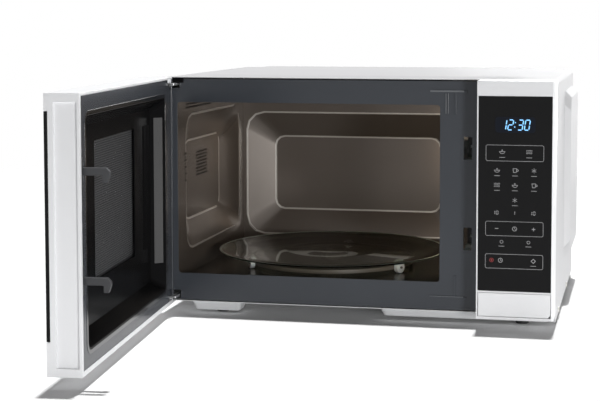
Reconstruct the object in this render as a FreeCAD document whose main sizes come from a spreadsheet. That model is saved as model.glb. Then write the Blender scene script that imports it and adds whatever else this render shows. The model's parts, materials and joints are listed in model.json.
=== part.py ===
"""Countertop microwave oven, door open: a parametric assembly of separate pieces.

Frame: +Z up, the oven stands on z = 0 and faces -Y. The origin is on the surface,
under the middle of the cabinet. All lengths are in millimetres.
"""
import FreeCAD, Part
import math
import os

import Sketcher
from FreeCAD import Placement, Rotation, Vector

doc = FreeCAD.newDocument("microwave_oven")
sheet = doc.addObject("Spreadsheet::Sheet", "sizes")

# ---------------------------------------------------------------------------
# Driving dimensions
# ---------------------------------------------------------------------------
DIMENSIONS = [
    # cabinet
    ("plate_fascia_gap", 1.3),
    ("cabinet_height", 289.0),
    ("cabinet_depth", 380.0),
    ("lip_height", 15.0),
    ("steel", 0.8),
    ("fit_gap", 0.3),
    ("wrap_corner_radius", 6.0),
    ("wrap_shadow_gap", 1.5),
    ("top_panel_side_inset", 40.0),
    ("top_panel_end_inset", 26.0),
    ("top_panel_rise", 2.6),
    ("emboss_slope", 9.0),
    ("emboss_corner_radius", 18.0),
    ("side_bulge_start", 165.0),
    ("side_bulge_end_inset", 16.0),
    ("side_bulge_low", 42.0),
    ("side_bulge_top_inset", 22.0),
    ("side_bulge_rise", 8.0),
    ("bay_pan_left", 30.0),
    ("bay_pan_inset", 4.0),
    ("bay_pan_front_inset", 5.0),
    ("bay_pan_rear_inset", 14.0),
    ("bay_pan_depth", 10.0),
    ("foot_pad_length", 58.0),
    ("foot_pad_inset", 42.0),
    ("foot_pad_drop", 12.0),
    ("foot_radius", 9.0),
    ("foot_front_inset", 18.0),
    ("foot_side_inset", 42.0),
    # oven cavity
    ("opening_left_inset", 18.0),
    ("opening_right_inset", 48.8),
    ("opening_low", 36.5),
    ("opening_top_inset", 32.0),
    ("opening_corner_radius", 4.0),
    ("cavity_depth", 320.0),
    ("cavity_side_step", 1.5),
    ("cavity_floor_drop", 9.0),
    ("side_emboss_depth", 10.0),
    ("side_emboss_front", 39.0),
    ("side_emboss_rear", 26.0),
    ("side_emboss_low", 32.5),
    ("side_emboss_high", 21.5),
    ("side_front_slope", 25.0),
    ("side_rear_slope", 72.0),
    ("side_edge_slope", 36.0),
    ("back_emboss_depth", 14.0),
    ("back_emboss_side", 5.5),
    ("back_emboss_low", 15.5),
    ("back_emboss_high", 34.5),
    ("back_side_slope", 41.0),
    ("back_edge_slope", 36.0),
    ("cavity_emboss_radius", 26.0),
    ("cavity_inner_radius", 14.0),
    ("shaft_hole_radius", 9.0),
    # front plate
    ("front_plate_width", 405.5),
    ("plate_floor_gap", 1.3),
    ("rib_height", 1.5),
    ("rib_width", 3.0),
    ("rib_bar_length", 44.0),
    ("rib_stem_length", 28.0),
    ("rib_right_inset", 12.0),
    ("rib_top_inset", 13.0),
    ("rib_low_inset", 17.5),
    ("slot_width", 10.0),
    ("slot_height", 28.0),
    ("slot_right_inset", 19.0),
    ("slot_low", 77.5),
    ("slot_top_inset", 99.0),
    ("hinge_notch_width", 20.0),
    ("hinge_notch_height", 12.0),
    # control side
    ("fascia_width", 93.2),
    ("fascia_depth", 38.5),
    ("fascia_low", 0.6),
    ("fascia_wall", 2.2),
    ("fascia_edge_radius", 3.0),
    ("glass_low", 35.0),
    ("glass_top_inset", 18.0),
    ("glass_edge", 1.6),
    ("glass_thickness", 2.0),
    ("button_low", 3.6),
    ("button_height", 29.6),
    ("button_gap", 0.5),
    ("button_skirt", 13.0),
    ("button_wall", 2.0),
    ("button_travel", 4.0),
    ("button_corner_radius", 5.0),
    ("display_width", 52.0),
    ("display_height", 22.0),
    ("display_depth", 9.0),
    ("display_top_inset", 17.0),
    ("board_thickness", 1.6),
    # door
    ("door_side_gap", 1.0),
    ("door_low", -1.0),
    ("door_gap", 1.2),
    ("door_wall", 2.5),
    ("door_open_angle", 85.0),
    ("hinge_inset", 3.6),
    ("hinge_ahead", 11.6),
    ("hinge_pin_radius", 2.4),
    ("hinge_pin_clearance", 0.1),
    ("door_glass_thickness", 4.0),
    ("door_edge_radius", 3.0),
    ("edge_channel_depth", 3.0),
    ("edge_channel_front", 10.0),
    ("edge_channel_rear", 3.0),
    ("edge_channel_end", 9.0),
    ("panel_inset", 4.0),
    ("choke_left_inset", 36.0),
    ("choke_right_inset", 25.5),
    ("choke_low", 21.0),
    ("choke_top_inset", 24.0),
    ("choke_corner_radius", 9.0),
    ("choke_slope", 12.0),
    ("choke_depth", 18.0),
    ("choke_wall", 1.5),
    ("choke_tray_margin", 7.0),
    ("choke_tray_depth", 20.0),
    ("window_right_inset", 111.0),
    ("window_width", 170.0),
    ("window_low", 79.0),
    ("window_top_inset", 57.0),
    ("window_corner_radius", 3.0),
    ("pane_thickness", 1.5),
    ("hook_thickness", 5.5),
    ("hook_reach", 28.0),
    ("hook_height", 8.0),
    ("hook_tip", 7.5),
    ("hook_low", 92.5),
    ("latch_travel", 4.0),
    ("latch_bar_width", 9.0),
    # turntable
    ("tray_side_gap", 13.35),
    ("tray_end_gap", 4.0),
    ("tray_rim_height", 7.0),
    ("tray_glass", 4.0),
    ("roller_radius", 7.5),
    ("roller_width", 6.0),
    ("roller_track_inset", 40.0),
    ("roller_axle_radius", 1.6),
    ("shaft_clearance", 0.1),
    ("ring_section", 5.0),
    ("coupler_radius", 20.0),
    ("coupler_height", 9.0),
    ("coupler_shaft_radius", 4.0),
    ("wrap_skirt", 8.0),
    ("screw_radius", 4.0),
    ("screw_height", 1.6),
    ("screw_front", 60.0),
    ("screw_rear", 238.0),
    ("screw_edge", 12.0),
    # glass, board and spring behind the fascia
    ("glass_edge_right", 3.2),
    ("board_setback", 16.0),
    ("board_edge", 4.0),
    ("board_low_inset", 42.0),
    ("board_hole_inset", 7.0),
    ("post_radius", 3.0),
    ("relay_depth", 15.0),
    ("relay_width", 16.0),
    ("relay_height", 22.0),
    ("seat_setback", 6.0),
    ("spring_inset", 24.0),
    ("leaf_width", 9.0),
    ("leaf_height", 16.0),
    ("leaf_thickness", 0.8),
    # door switches, bracket and lever
    ("bracket_margin", 30.0),
    ("bracket_wall", 1.5),
    ("bracket_depth", 50.0),
    ("bracket_side_gap", 3.0),
    ("ledge_depth", 12.0),
    ("boss_radius", 4.5),
    ("switch_setback", 29.6),
    ("switch_width", 10.0),
    ("switch_depth", 16.0),
    ("switch_height", 27.0),
    ("plunger_half", 1.5),
    ("plunger_travel", 1.0),
    ("lever_inset", 5.5),
    ("lever_setback", 3.0),
    ("lever_width", 5.0),
    ("lever_arm", 6.0),
    ("lever_height", 56.0),
    ("lever_reach", 28.0),
    ("lever_clearance", 3.4),
    ("lever_pin_radius", 2.0),
    # power side
    ("waveguide_setback", 96.0),
    ("waveguide_low", 140.0),
    ("waveguide_length", 120.0),
    ("waveguide_height", 66.0),
    ("waveguide_depth", 38.0),
    ("waveguide_wall", 1.2),
    ("waveguide_flange", 6.0),
    ("waveguide_mouth", 80.0),
    ("waveguide_lap", 8.0),
    ("tube_inset", 38.0),
    ("antenna_radius", 8.0),
    ("antenna_length", 22.0),
    ("magnetron_length", 84.0),
    ("magnetron_height", 72.0),
    ("magnetron_width", 52.0),
    ("magnetron_core_radius", 20.0),
    ("fin_pitch", 5.6),
    ("filter_box_depth", 20.0),
    ("transformer_left", 30.0),
    ("transformer_setback", 70.0),
    ("transformer_width", 76.0),
    ("transformer_stack", 58.0),
    ("transformer_height", 82.0),
    ("coil_overhang", 12.0),
    ("capacitor_left", 40.0),
    ("capacitor_gap", 10.0),
    ("capacitor_width", 52.0),
    ("capacitor_depth", 34.0),
    ("capacitor_height", 90.0),
    ("fan_height", 160.0),
    ("fan_radius", 46.0),
    ("fan_hub_radius", 11.0),
    ("fan_shaft_radius", 1.6),
    ("fan_margin", 2.0),
    ("fan_motor_width", 58.0),
    ("fan_motor_height", 44.0),
    ("fan_motor_depth", 22.0),
    ("blade_thickness", 2.0),
    ("blade_chord", 26.0),
    ("blade_pitch", 0.6),
    ("shroud_margin", 6.0),
    ("shroud_depth", 28.0),
    ("bridge_width", 26.0),
    ("vent_width", 3.0),
    ("vent_height", 34.0),
    ("vent_pitch", 7.0),
    ("filter_spacer", 6.0),
    ("filter_top_inset", 8.0),
    ("filter_height", 40.0),
    ("filter_width", 95.0),
    ("filter_can_width", 22.0),
    ("filter_can_depth", 18.0),
    ("filter_part_gap", 10.0),
    ("filter_edge", 5.0),
    ("filter_coil_radius", 11.0),
    ("filter_coil_bore", 5.0),
    ("filter_coil_depth", 14.0),
    ("gland_bore", 3.6),
    ("gland_neck", 6.8),
    ("gland_flange", 9.5),
    ("gland_grip", 1.2),
    ("gland_side_inset", 45.0),
    ("gland_height", 40.0),
    ("lamp_inset", 60.0),
    ("lamp_drop", 40.0),
    ("cutout_offset", 90.0),
    ("turn_motor_radius", 25.0),
    ("turn_motor_height", 15.0),
    ("tray_lug_radius", 3.0),
    ("coupler_arm", 8.0),
    ("roller_angle", -29.0),
    # hinges and latch
    ("hinge_top_inset", 10.5),
    ("hinge_low_inset", 6.0),
    ("hinge_thickness", 2.5),
    ("hinge_edge", 1.5),
    ("hinge_plate_width", 19.0),
    ("hinge_nose", 5.0),
    ("hinge_leg", 46.0),
    ("hinge_pin_length", 5.5),
    ("hinge_room", 0.6),
    ("hinge_boss", 6.0),
    ("window_margin", 14.0),
    ("panel_recess", 1.0),
    ("panel_flange", 12.0),
    ("ridge_inset", 52.0),
    ("ridge_width", 1.6),
    ("ridge_height", 1.2),
    ("ridge_pitch", 7.0),
    ("latch_bar_thickness", 3.0),
    ("latch_bar_end", 10.0),
    ("latch_spring_length", 22.0),
    ("latch_spring_radius", 2.4),
    ("latch_spring_wire", 0.6),
    ("latch_spring_turns", 4.0),
]

# Sizes that follow from others, so that the cabinet, mouth, door and tray keep together
LINKED = [
    ("cabinet_width", "front_plate_width + plate_fascia_gap + fascia_width"),
    ("opening_width", "front_plate_width - opening_left_inset - opening_right_inset"),
    ("opening_height", "cabinet_height - opening_low - opening_top_inset"),
    ("slot_left_inset", "front_plate_width - slot_right_inset"),
    ("slot_spacing", "cabinet_height - slot_low - slot_top_inset"),
    ("glass_height", "cabinet_height - glass_low - glass_top_inset"),
    ("door_width", "front_plate_width - door_side_gap"),
    ("door_high", "cabinet_height"),
    ("choke_height", "cabinet_height - choke_low - choke_top_inset"),
    ("window_height", "cabinet_height - window_low - window_top_inset"),
    ("tray_radius", "min(opening_width / 2 - tray_side_gap; cavity_depth / 2 - tray_end_gap)"),
    ("tray_centre_depth", "steel + cavity_depth / 2"),
    ("roller_track_radius", "tray_radius - roller_track_inset"),
]

cells = [(alias, str(number)) for alias, number in DIMENSIONS]
cells += [(alias, "=" + formula) for alias, formula in LINKED]
for row, (alias, content) in enumerate(cells, start=1):
    sheet.set(f"A{row}", alias)
    sheet.set(f"B{row}", content)
    sheet.setAlias(f"B{row}", alias)
doc.recompute()


class Size:
    """A length that knows both its value and the sheet expression it comes from."""

    def __init__(self, text, value):
        self.text = text
        self.value = value

    def __add__(self, other):
        other = as_size(other)
        return Size(f"({self.text} + {other.text})", self.value + other.value)

    def __sub__(self, other):
        other = as_size(other)
        return Size(f"({self.text} - {other.text})", self.value - other.value)

    def __mul__(self, factor):
        factor = as_size(factor)
        return Size(f"({self.text} * {factor.text})", self.value * factor.value)

    def __truediv__(self, factor):
        factor = as_size(factor)
        return Size(f"({self.text} / {factor.text})", self.value / factor.value)

    def __neg__(self):
        return Size(f"(-1 * {self.text})", -self.value)

    def __radd__(self, other):
        return as_size(other) + self

    def __rsub__(self, other):
        return as_size(other) - self

    def __rmul__(self, other):
        return as_size(other) * self


def cosine(angle):
    return Size(f"cos({angle.text})", math.cos(math.radians(angle.value)))


def sine(angle):
    return Size(f"sin({angle.text})", math.sin(math.radians(angle.value)))


def as_size(value):
    return value if isinstance(value, Size) else Size(repr(float(value)), float(value))


class Sheet:
    """Attribute access to the spreadsheet: s.steel is the cell with that alias."""

    def __getattr__(self, alias):
        return Size(f"sizes.{alias}", float(sheet.get(alias)))


s = Sheet()


def bind(thing, path, size):
    size = as_size(size)
    thing.setExpression(path, size.text)


# ---------------------------------------------------------------------------
# Sketch outlines
# ---------------------------------------------------------------------------
def rectangle(x0, y0, x1, y1, radius=None):
    return outline([(x0, y0, radius), (x1, y0, radius), (x1, y1, radius), (x0, y1, radius)])


def outline(points):
    """A closed outline. A point is (x, y) or (x, y, radius); rounded corners are square ones."""
    corners = []
    for point in points:
        x, y = as_size(point[0]), as_size(point[1])
        radius = as_size(point[2]) if len(point) > 2 and point[2] is not None else None
        corners.append((x, y, radius))
    return ("outline", corners)


def faceted(x0, y0, x1, y1, radius):
    """A rectangle whose rounded corners are three flats each, so that a loft's sides stay flat."""
    centres = (
        (x1 - radius, y1 - radius), (x0 + radius, y1 - radius),
        (x0 + radius, y0 + radius), (x1 - radius, y0 + radius),
    )
    points = []
    for quarter, (x, y) in enumerate(centres):
        for third in range(4):
            turn = math.radians(90 * quarter + 30 * third)
            points.append((x + radius * round(math.cos(turn), 6), y + radius * round(math.sin(turn), 6)))
    return outline(points)


def octagon(x, y, inner_radius):
    corner = inner_radius * (math.sqrt(2) - 1)
    points = [(inner_radius, corner), (corner, inner_radius)]
    quarters = []
    for _ in range(4):
        quarters += points
        points = [(-v, u) for u, v in points]
    return outline([(x + u, y + v) for u, v in quarters])


def circle(x, y, radius):
    return ("circle", as_size(x), as_size(y), as_size(radius))


def stepped(corner, towards, radius):
    """The point on the side from corner to towards where the corner's round begins."""
    dx = towards[0].value - corner[0].value
    dy = towards[1].value - corner[1].value
    if abs(dx) > abs(dy):
        return (corner[0] + radius if dx > 0 else corner[0] - radius, corner[1])
    return (corner[0], corner[1] + radius if dy > 0 else corner[1] - radius)


def fix_point(sketch, geometry, vertex, x, y):
    for kind, size in (("DistanceX", x), ("DistanceY", y)):
        index = sketch.addConstraint(Sketcher.Constraint(kind, geometry, vertex, size.value))
        bind(sketch, f"Constraints[{index}]", size)


def draw_outline(sketch, corners):
    ends = []
    for i, corner in enumerate(corners):
        before, after = corners[i - 1], corners[(i + 1) % len(corners)]
        if corner[2] is None:
            ends.append(((corner[0], corner[1]),) * 2)
        else:
            ends.append((stepped(corner, before, corner[2]), stepped(corner, after, corner[2])))
    lines, arcs = [], {}
    for i, corner in enumerate(corners):
        start, stop = ends[i][1], ends[(i + 1) % len(corners)][0]
        lines.append(
            sketch.addGeometry(
                Part.LineSegment(
                    Vector(start[0].value, start[1].value, 0), Vector(stop[0].value, stop[1].value, 0)
                )
            )
        )
    for i, corner in enumerate(corners):
        if corner[2] is None:
            continue
        first, last = [Vector(p[0].value, p[1].value, 0) for p in ends[i]]
        apex = Vector(corner[0].value, corner[1].value, 0)
        centre = first + last - apex
        middle = centre + (apex - centre).normalize() * corner[2].value
        if (first - centre).cross(last - centre).z < 0:
            first, last = last, first
        arcs[i] = sketch.addGeometry(Part.Arc(first, middle, last))
    for i, corner in enumerate(corners):
        line, next_line = lines[i], lines[(i + 1) % len(lines)]
        fix_point(sketch, line, 1, *ends[i][1])
        j = (i + 1) % len(corners)
        if corners[j][2] is None:
            sketch.addConstraint(Sketcher.Constraint("Coincident", line, 2, next_line, 1))
            continue
        fix_point(sketch, line, 2, *ends[j][0])
        arc = arcs[j]
        geometry = sketch.Geometry[arc]
        stop = Vector(ends[j][0][0].value, ends[j][0][1].value, 0)
        forward = (geometry.StartPoint - stop).Length < (geometry.EndPoint - stop).Length
        near, far = (1, 2) if forward else (2, 1)
        sketch.addConstraint(Sketcher.Constraint("Coincident", arc, near, line, 2))
        sketch.addConstraint(Sketcher.Constraint("Coincident", arc, far, next_line, 1))
        index = sketch.addConstraint(Sketcher.Constraint("Radius", arc, corners[j][2].value))
        bind(sketch, f"Constraints[{index}]", corners[j][2])


def draw_circle(sketch, x, y, radius):
    ring = sketch.addGeometry(Part.Circle(Vector(x.value, y.value, 0), Vector(0, 0, 1), radius.value))
    fix_point(sketch, ring, 3, x, y)
    index = sketch.addConstraint(Sketcher.Constraint("Radius", ring, radius.value))
    bind(sketch, f"Constraints[{index}]", radius)


# ---------------------------------------------------------------------------
# Bodies
# ---------------------------------------------------------------------------
PIECES = []
OCTAGON_IN = math.cos(math.pi / 8)
PLANE_SIGN = {"XY": 1, "XZ": -1, "YZ": 1}


class Body:
    """A PartDesign body. XY outlines are (X, Y), XZ outlines (X, Z) and YZ outlines (Y, Z)."""

    def __init__(self, label):
        self.body = doc.addObject("PartDesign::Body", label)
        self.body.Label = label
        self.label = label
        self.count = 0
        PIECES.append(self.body)

    def name(self, kind):
        self.count += 1
        return f"{self.label}_{kind}_{self.count}"

    def origin(self, role):
        return next(f for f in self.body.Origin.OriginFeatures if f.Role == role)

    def sketch(self, plane, offset, loops):
        sketch = self.body.newObject("Sketcher::SketchObject", self.name("sketch"))
        sketch.AttachmentSupport = [(self.origin(f"{plane}_Plane"), "")]
        sketch.MapMode = "FlatFace"
        bind(sketch, "AttachmentOffset.Base.z", as_size(offset) * PLANE_SIGN[plane])
        for loop in loops:
            if loop[0] == "circle":
                draw_circle(sketch, *loop[1:])
            else:
                draw_outline(sketch, loop[1])
        return sketch

    def pad(self, plane, start, stop, *loops):
        """Adds the outline between two coordinates along the plane's axis."""
        start, stop = as_size(start), as_size(stop)
        feature = self.body.newObject("PartDesign::Pad", self.name("pad"))
        feature.Profile = self.sketch(plane, start, loops)
        bind(feature, "Length", stop - start)
        feature.Reversed = plane == "XZ"
        return feature

    def pocket(self, plane, start, stop, *loops):
        """Cuts the outline between two coordinates along the plane's axis."""
        start, stop = as_size(start), as_size(stop)
        feature = self.body.newObject("PartDesign::Pocket", self.name("pocket"))
        feature.Profile = self.sketch(plane, start, loops)
        bind(feature, "Length", stop - start)
        feature.Reversed = plane != "XZ"
        return feature

    def loft(self, plane, first_offset, first, last_offset, last, cut=False):
        kind = "PartDesign::SubtractiveLoft" if cut else "PartDesign::AdditiveLoft"
        feature = self.body.newObject(kind, self.name("loft"))
        feature.Profile = self.sketch(plane, first_offset, [first])
        feature.Sections = [self.sketch(plane, last_offset, [last])]
        feature.Ruled = True
        return feature

    def turned(self, points, cut=False, axis="V_Axis"):
        """Turns an XZ outline about the vertical axis of the body."""
        kind = "PartDesign::Groove" if cut else "PartDesign::Revolution"
        feature = self.body.newObject(kind, self.name("turned"))
        profile = self.sketch("XZ", 0, [points])
        feature.Profile = profile
        feature.ReferenceAxis = (profile, [axis])
        feature.Angle = 360
        return feature

    def row(self, features, role, pitch, copies):
        """Repeats features along an axis of the body's origin."""
        pattern = self.body.newObject("PartDesign::LinearPattern", self.name("row"))
        pattern.Originals = features
        pattern.Direction = (self.origin(f"{role}_Axis"), [""])
        pattern.Mode = "Spacing"
        bind(pattern, "Offset", pitch)
        pattern.Occurrences = copies
        self.body.Tip = pattern
        return pattern

    def ring(self, features, role, copies):
        """Repeats features round an axis of the body's origin."""
        pattern = self.body.newObject("PartDesign::PolarPattern", self.name("ring"))
        pattern.Originals = features
        pattern.Axis = (self.origin(f"{role}_Axis"), [""])
        pattern.Angle = 360
        pattern.Occurrences = copies
        self.body.Tip = pattern
        return pattern

    def fillet(self, radius, choose):
        """Rounds the edges that choose() picks."""
        doc.recompute()
        base = self.body.Tip
        names = [f"Edge{i}" for i, edge in enumerate(base.Shape.Edges, start=1) if choose(edge)]
        if not names:
            raise RuntimeError(f"{self.label}: no edge to round")
        feature = self.body.newObject("PartDesign::Fillet", self.name("fillet"))
        feature.Base = (base, names)
        bind(feature, "Radius", radius)
        self.body.Tip = feature
        return feature

    def place(self, x, y, z, angle=0, axis=(0, 0, 1)):
        place(self.body, x, y, z, angle, axis)
        return self


def place(thing, x, y, z, angle=0, axis=(0, 0, 1)):
    """Moves a piece, and turns it about an axis through its own origin."""
    thing.Placement = Placement(Vector(0, 0, 0), Rotation(Vector(*axis), 1))
    for axis, size in (("x", x), ("y", y), ("z", z)):
        bind(thing, f"Placement.Base.{axis}", size)
    bind(thing, "Placement.Rotation.Angle", angle)


def along(edge, axis):
    """True for a straight edge along X, Y or Z."""
    if edge.Curve.TypeId != "Part::GeomLine":
        return False
    direction = edge.tangentAt(edge.FirstParameter)
    return abs(abs(direction[axis]) - 1) < 1e-6


def near(value, size):
    return abs(value - as_size(size).value) < 1e-3


def frustum(plane_box, inset):
    """A rounded rectangle drawn in by inset on every side."""
    x0, y0, x1, y1, radius = plane_box
    return rectangle(x0 + inset, y0 + inset, x1 - inset, y1 - inset, radius)


# ---------------------------------------------------------------------------
# Places that several pieces share
# ---------------------------------------------------------------------------
LEFT = s.cabinet_width / -2
RIGHT = s.cabinet_width / 2
FRONT = s.cabinet_depth / -2
BACK = s.cabinet_depth / 2
LIP = s.lip_height
SKIRT = LIP - s.wrap_skirt
TOP = s.lip_height + s.cabinet_height
INNER_LEFT = LEFT + s.steel + s.fit_gap
INNER_RIGHT = RIGHT - s.steel - s.fit_gap
PLATE_BACK = FRONT + s.steel

OPENING_LEFT = LEFT + s.opening_left_inset
OPENING_RIGHT = OPENING_LEFT + s.opening_width
OPENING_LOW = LIP + s.opening_low
OPENING_HIGH = OPENING_LOW + s.opening_height
CAVITY_LEFT = OPENING_LEFT - s.cavity_side_step
CAVITY_RIGHT = OPENING_RIGHT + s.cavity_side_step
CAVITY_FLOOR = OPENING_LOW - s.cavity_floor_drop
CAVITY_ROOF = OPENING_HIGH + s.cavity_side_step
CAVITY_BACK = PLATE_BACK + s.cavity_depth
TURN_X = (OPENING_LEFT + OPENING_RIGHT) / 2
TURN_Y = FRONT + s.tray_centre_depth

FASCIA_LEFT = RIGHT - s.fascia_width
FASCIA_FRONT = FRONT - s.fascia_depth
SLOT_LEFT = LEFT + s.slot_left_inset
SLOT_RIGHT = SLOT_LEFT + s.slot_width

HINGE_X = LEFT + s.hinge_inset
HINGE_Y = FRONT - s.hinge_ahead

# the door's own frame: shut, with the hinge axis as origin
DOOR_LEFT = -s.hinge_inset
DOOR_RIGHT = DOOR_LEFT + s.door_width
DOOR_BACK = s.hinge_ahead - s.door_gap
DOOR_FRONT = s.hinge_ahead - s.fascia_depth
DOOR_LOW = LIP + s.door_low
DOOR_HIGH = LIP + s.door_high

BAY_LEFT = CAVITY_RIGHT + s.steel
BAY_FLOOR = LIP - s.bay_pan_depth + s.steel
FOOT_IN = s.bay_pan_front_inset + s.foot_front_inset
REAR_FOOT_Y = BACK - s.bay_pan_rear_inset - s.foot_front_inset

FASCIA_LOW = LIP + s.fascia_low
FASCIA_INSIDE = FASCIA_FRONT + s.glass_thickness + s.fascia_wall
GLASS_LEFT = FASCIA_LEFT + s.glass_edge
GLASS_RIGHT = RIGHT - s.glass_edge_right
GLASS_LOW = LIP + s.glass_low
GLASS_HIGH = GLASS_LOW + s.glass_height
BUTTON_LOW = LIP + s.button_low
BUTTON_HIGH = BUTTON_LOW + s.button_height
DISPLAY_LEFT = (GLASS_LEFT + GLASS_RIGHT - s.display_width) / 2
DISPLAY_RIGHT = DISPLAY_LEFT + s.display_width
DISPLAY_HIGH = GLASS_HIGH - s.display_top_inset
DISPLAY_LOW = DISPLAY_HIGH - s.display_height
BOARD_LEFT = GLASS_LEFT + s.board_edge
BOARD_RIGHT = GLASS_RIGHT - s.board_edge
BOARD_LOW = GLASS_LOW + s.board_low_inset
BOARD_HIGH = GLASS_HIGH - s.board_edge
BOARD_FRONT = FASCIA_FRONT + s.board_setback
BOARD_BACK = BOARD_FRONT + s.board_thickness
SPRING_SEAT = FRONT - s.seat_setback
SPRING_X = GLASS_RIGHT - s.spring_inset
SPRING_Z = (BUTTON_LOW + BUTTON_HIGH) / 2
PUSH_Z = SPRING_Z

BRACKET_RIGHT = SLOT_RIGHT + s.bracket_side_gap
SWITCH_FRONT = FRONT + s.switch_setback
SWITCH_LOWS = [
    LIP + s.slot_low + s.button_gap,
    LIP + s.slot_low + s.slot_spacing + s.button_gap,
    LIP + s.slot_low + s.button_gap + s.switch_height + s.fit_gap,
]
LEVER_X = GLASS_LEFT + s.lever_inset
LEVER_FACE = FRONT + s.lever_setback
LEVER_Y = LEVER_FACE + s.lever_arm / 2
LEVER_Z = LIP + s.lever_height
LIFT_Y = FRONT + s.lever_reach
LIFT_Z = LIP + s.hook_low - s.hook_tip - s.lever_clearance

GUIDE_Y = FRONT + s.waveguide_setback
GUIDE_Z = LIP + s.waveguide_low
TUBE_Y = GUIDE_Y + s.waveguide_length - s.tube_inset
TUBE_Z = GUIDE_Z + s.waveguide_height / 2
FAN_X = (BAY_LEFT + INNER_RIGHT) / 2
FAN_Z = LIP + s.fan_height
GLAND_X = RIGHT - s.gland_side_inset
GLAND_Z = LIP + s.gland_height
TRAY_LIFT = 2 * s.roller_radius + 2 * s.fit_gap

HINGE_TOP = TOP - s.hinge_top_inset
HINGE_LOW = LIP + s.hinge_low_inset
DOOR_INSIDE = DOOR_FRONT + s.door_glass_thickness + s.fascia_wall
FREE_WALL = DOOR_RIGHT - s.edge_channel_depth - s.door_wall
PANEL_BACK = DOOR_BACK - s.panel_recess
TRAY_BACK = PANEL_BACK - s.steel - s.choke_tray_depth
WINDOW_RIGHT = DOOR_RIGHT - s.window_right_inset
WINDOW_LOW = LIP + s.window_low
WINDOW = (
    WINDOW_RIGHT - s.window_width, WINDOW_LOW,
    WINDOW_RIGHT, WINDOW_LOW + s.window_height, s.window_corner_radius,
)
CHOKE = (
    DOOR_LEFT + s.choke_left_inset, LIP + s.choke_low,
    DOOR_RIGHT - s.choke_right_inset, LIP + s.choke_low + s.choke_height, s.choke_corner_radius,
)
RIDGE_X = DOOR_LEFT + s.ridge_inset
HOOK_X = (SLOT_LEFT + SLOT_RIGHT) / 2 - HINGE_X
HOOK_LOWS = [LIP + s.hook_low, LIP + s.hook_low + s.slot_spacing]
LATCH_BACK = PANEL_BACK - s.steel - s.fit_gap
LATCH_LOW = HOOK_LOWS[0] - s.hook_tip - s.latch_bar_end


# ---------------------------------------------------------------------------
# Cabinet
# ---------------------------------------------------------------------------
def outer_wrap():
    """The folded cover: one sheet over both sides and the top."""
    wrap = Body("outer_wrap")
    radius = s.wrap_corner_radius
    wrap.pad(
        "XZ", FRONT, BACK,
        outline([
            (LEFT, SKIRT), (LEFT + s.steel, SKIRT),
            (LEFT + s.steel, TOP - s.steel, radius - s.steel),
            (RIGHT - s.steel, TOP - s.steel, radius - s.steel),
            (RIGHT - s.steel, SKIRT), (RIGHT, SKIRT),
            (RIGHT, TOP, radius), (LEFT, TOP, radius),
        ]),
    )
    panel = (
        LEFT + s.top_panel_side_inset, FRONT + s.top_panel_end_inset,
        RIGHT - s.top_panel_side_inset, BACK - s.top_panel_end_inset, s.emboss_corner_radius,
    )
    for drop, cut in ((as_size(0), False), (s.steel, True)):
        wrap.loft(
            "XY", TOP - drop, frustum(panel, 0),
            TOP - drop + s.top_panel_rise, frustum(panel, s.emboss_slope), cut,
        )
    bulge = (
        FRONT + s.side_bulge_start, LIP + s.side_bulge_low,
        BACK - s.side_bulge_end_inset, TOP - s.side_bulge_top_inset, s.emboss_corner_radius,
    )
    for drop, cut in ((as_size(0), False), (s.steel, True)):
        wrap.loft(
            "YZ", RIGHT - drop, frustum(bulge, 0),
            RIGHT - drop + s.side_bulge_rise, frustum(bulge, s.emboss_slope), cut,
        )


def base_plate():
    """The bottom tray, with the pressed pads that carry the feet."""
    base = Body("base_plate")
    base.pad("XY", LIP, LIP + s.steel, rectangle(INNER_LEFT, FRONT, INNER_RIGHT, BACK - s.steel))
    for left in (INNER_LEFT, INNER_RIGHT - s.steel):
        base.pad("XY", SKIRT, LIP, rectangle(left, FRONT, left + s.steel, BACK - s.steel))
    bay = (
        LEFT + s.cabinet_width / 2 + s.bay_pan_left, FRONT + s.bay_pan_front_inset,
        INNER_RIGHT - s.bay_pan_inset, BACK - s.bay_pan_rear_inset, s.emboss_corner_radius / 3,
    )
    pads = [bay]
    for y0 in (FRONT + s.bay_pan_front_inset, BACK - s.bay_pan_rear_inset - 2 * s.foot_front_inset):
        pads.append((
            LEFT + s.foot_pad_inset - s.emboss_slope, y0,
            LEFT + s.foot_pad_inset + s.foot_pad_length, y0 + 2 * s.foot_front_inset,
            s.emboss_corner_radius / 3,
        ))
    for pad, depth in zip(pads, (s.bay_pan_depth, s.foot_pad_drop, s.foot_pad_drop)):
        slope = s.bay_pan_inset
        for lift, cut in ((as_size(0), False), (s.steel, True)):
            base.loft("XY", LIP + lift, frustum(pad, 0), LIP + lift - depth, frustum(pad, slope), cut)


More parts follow.
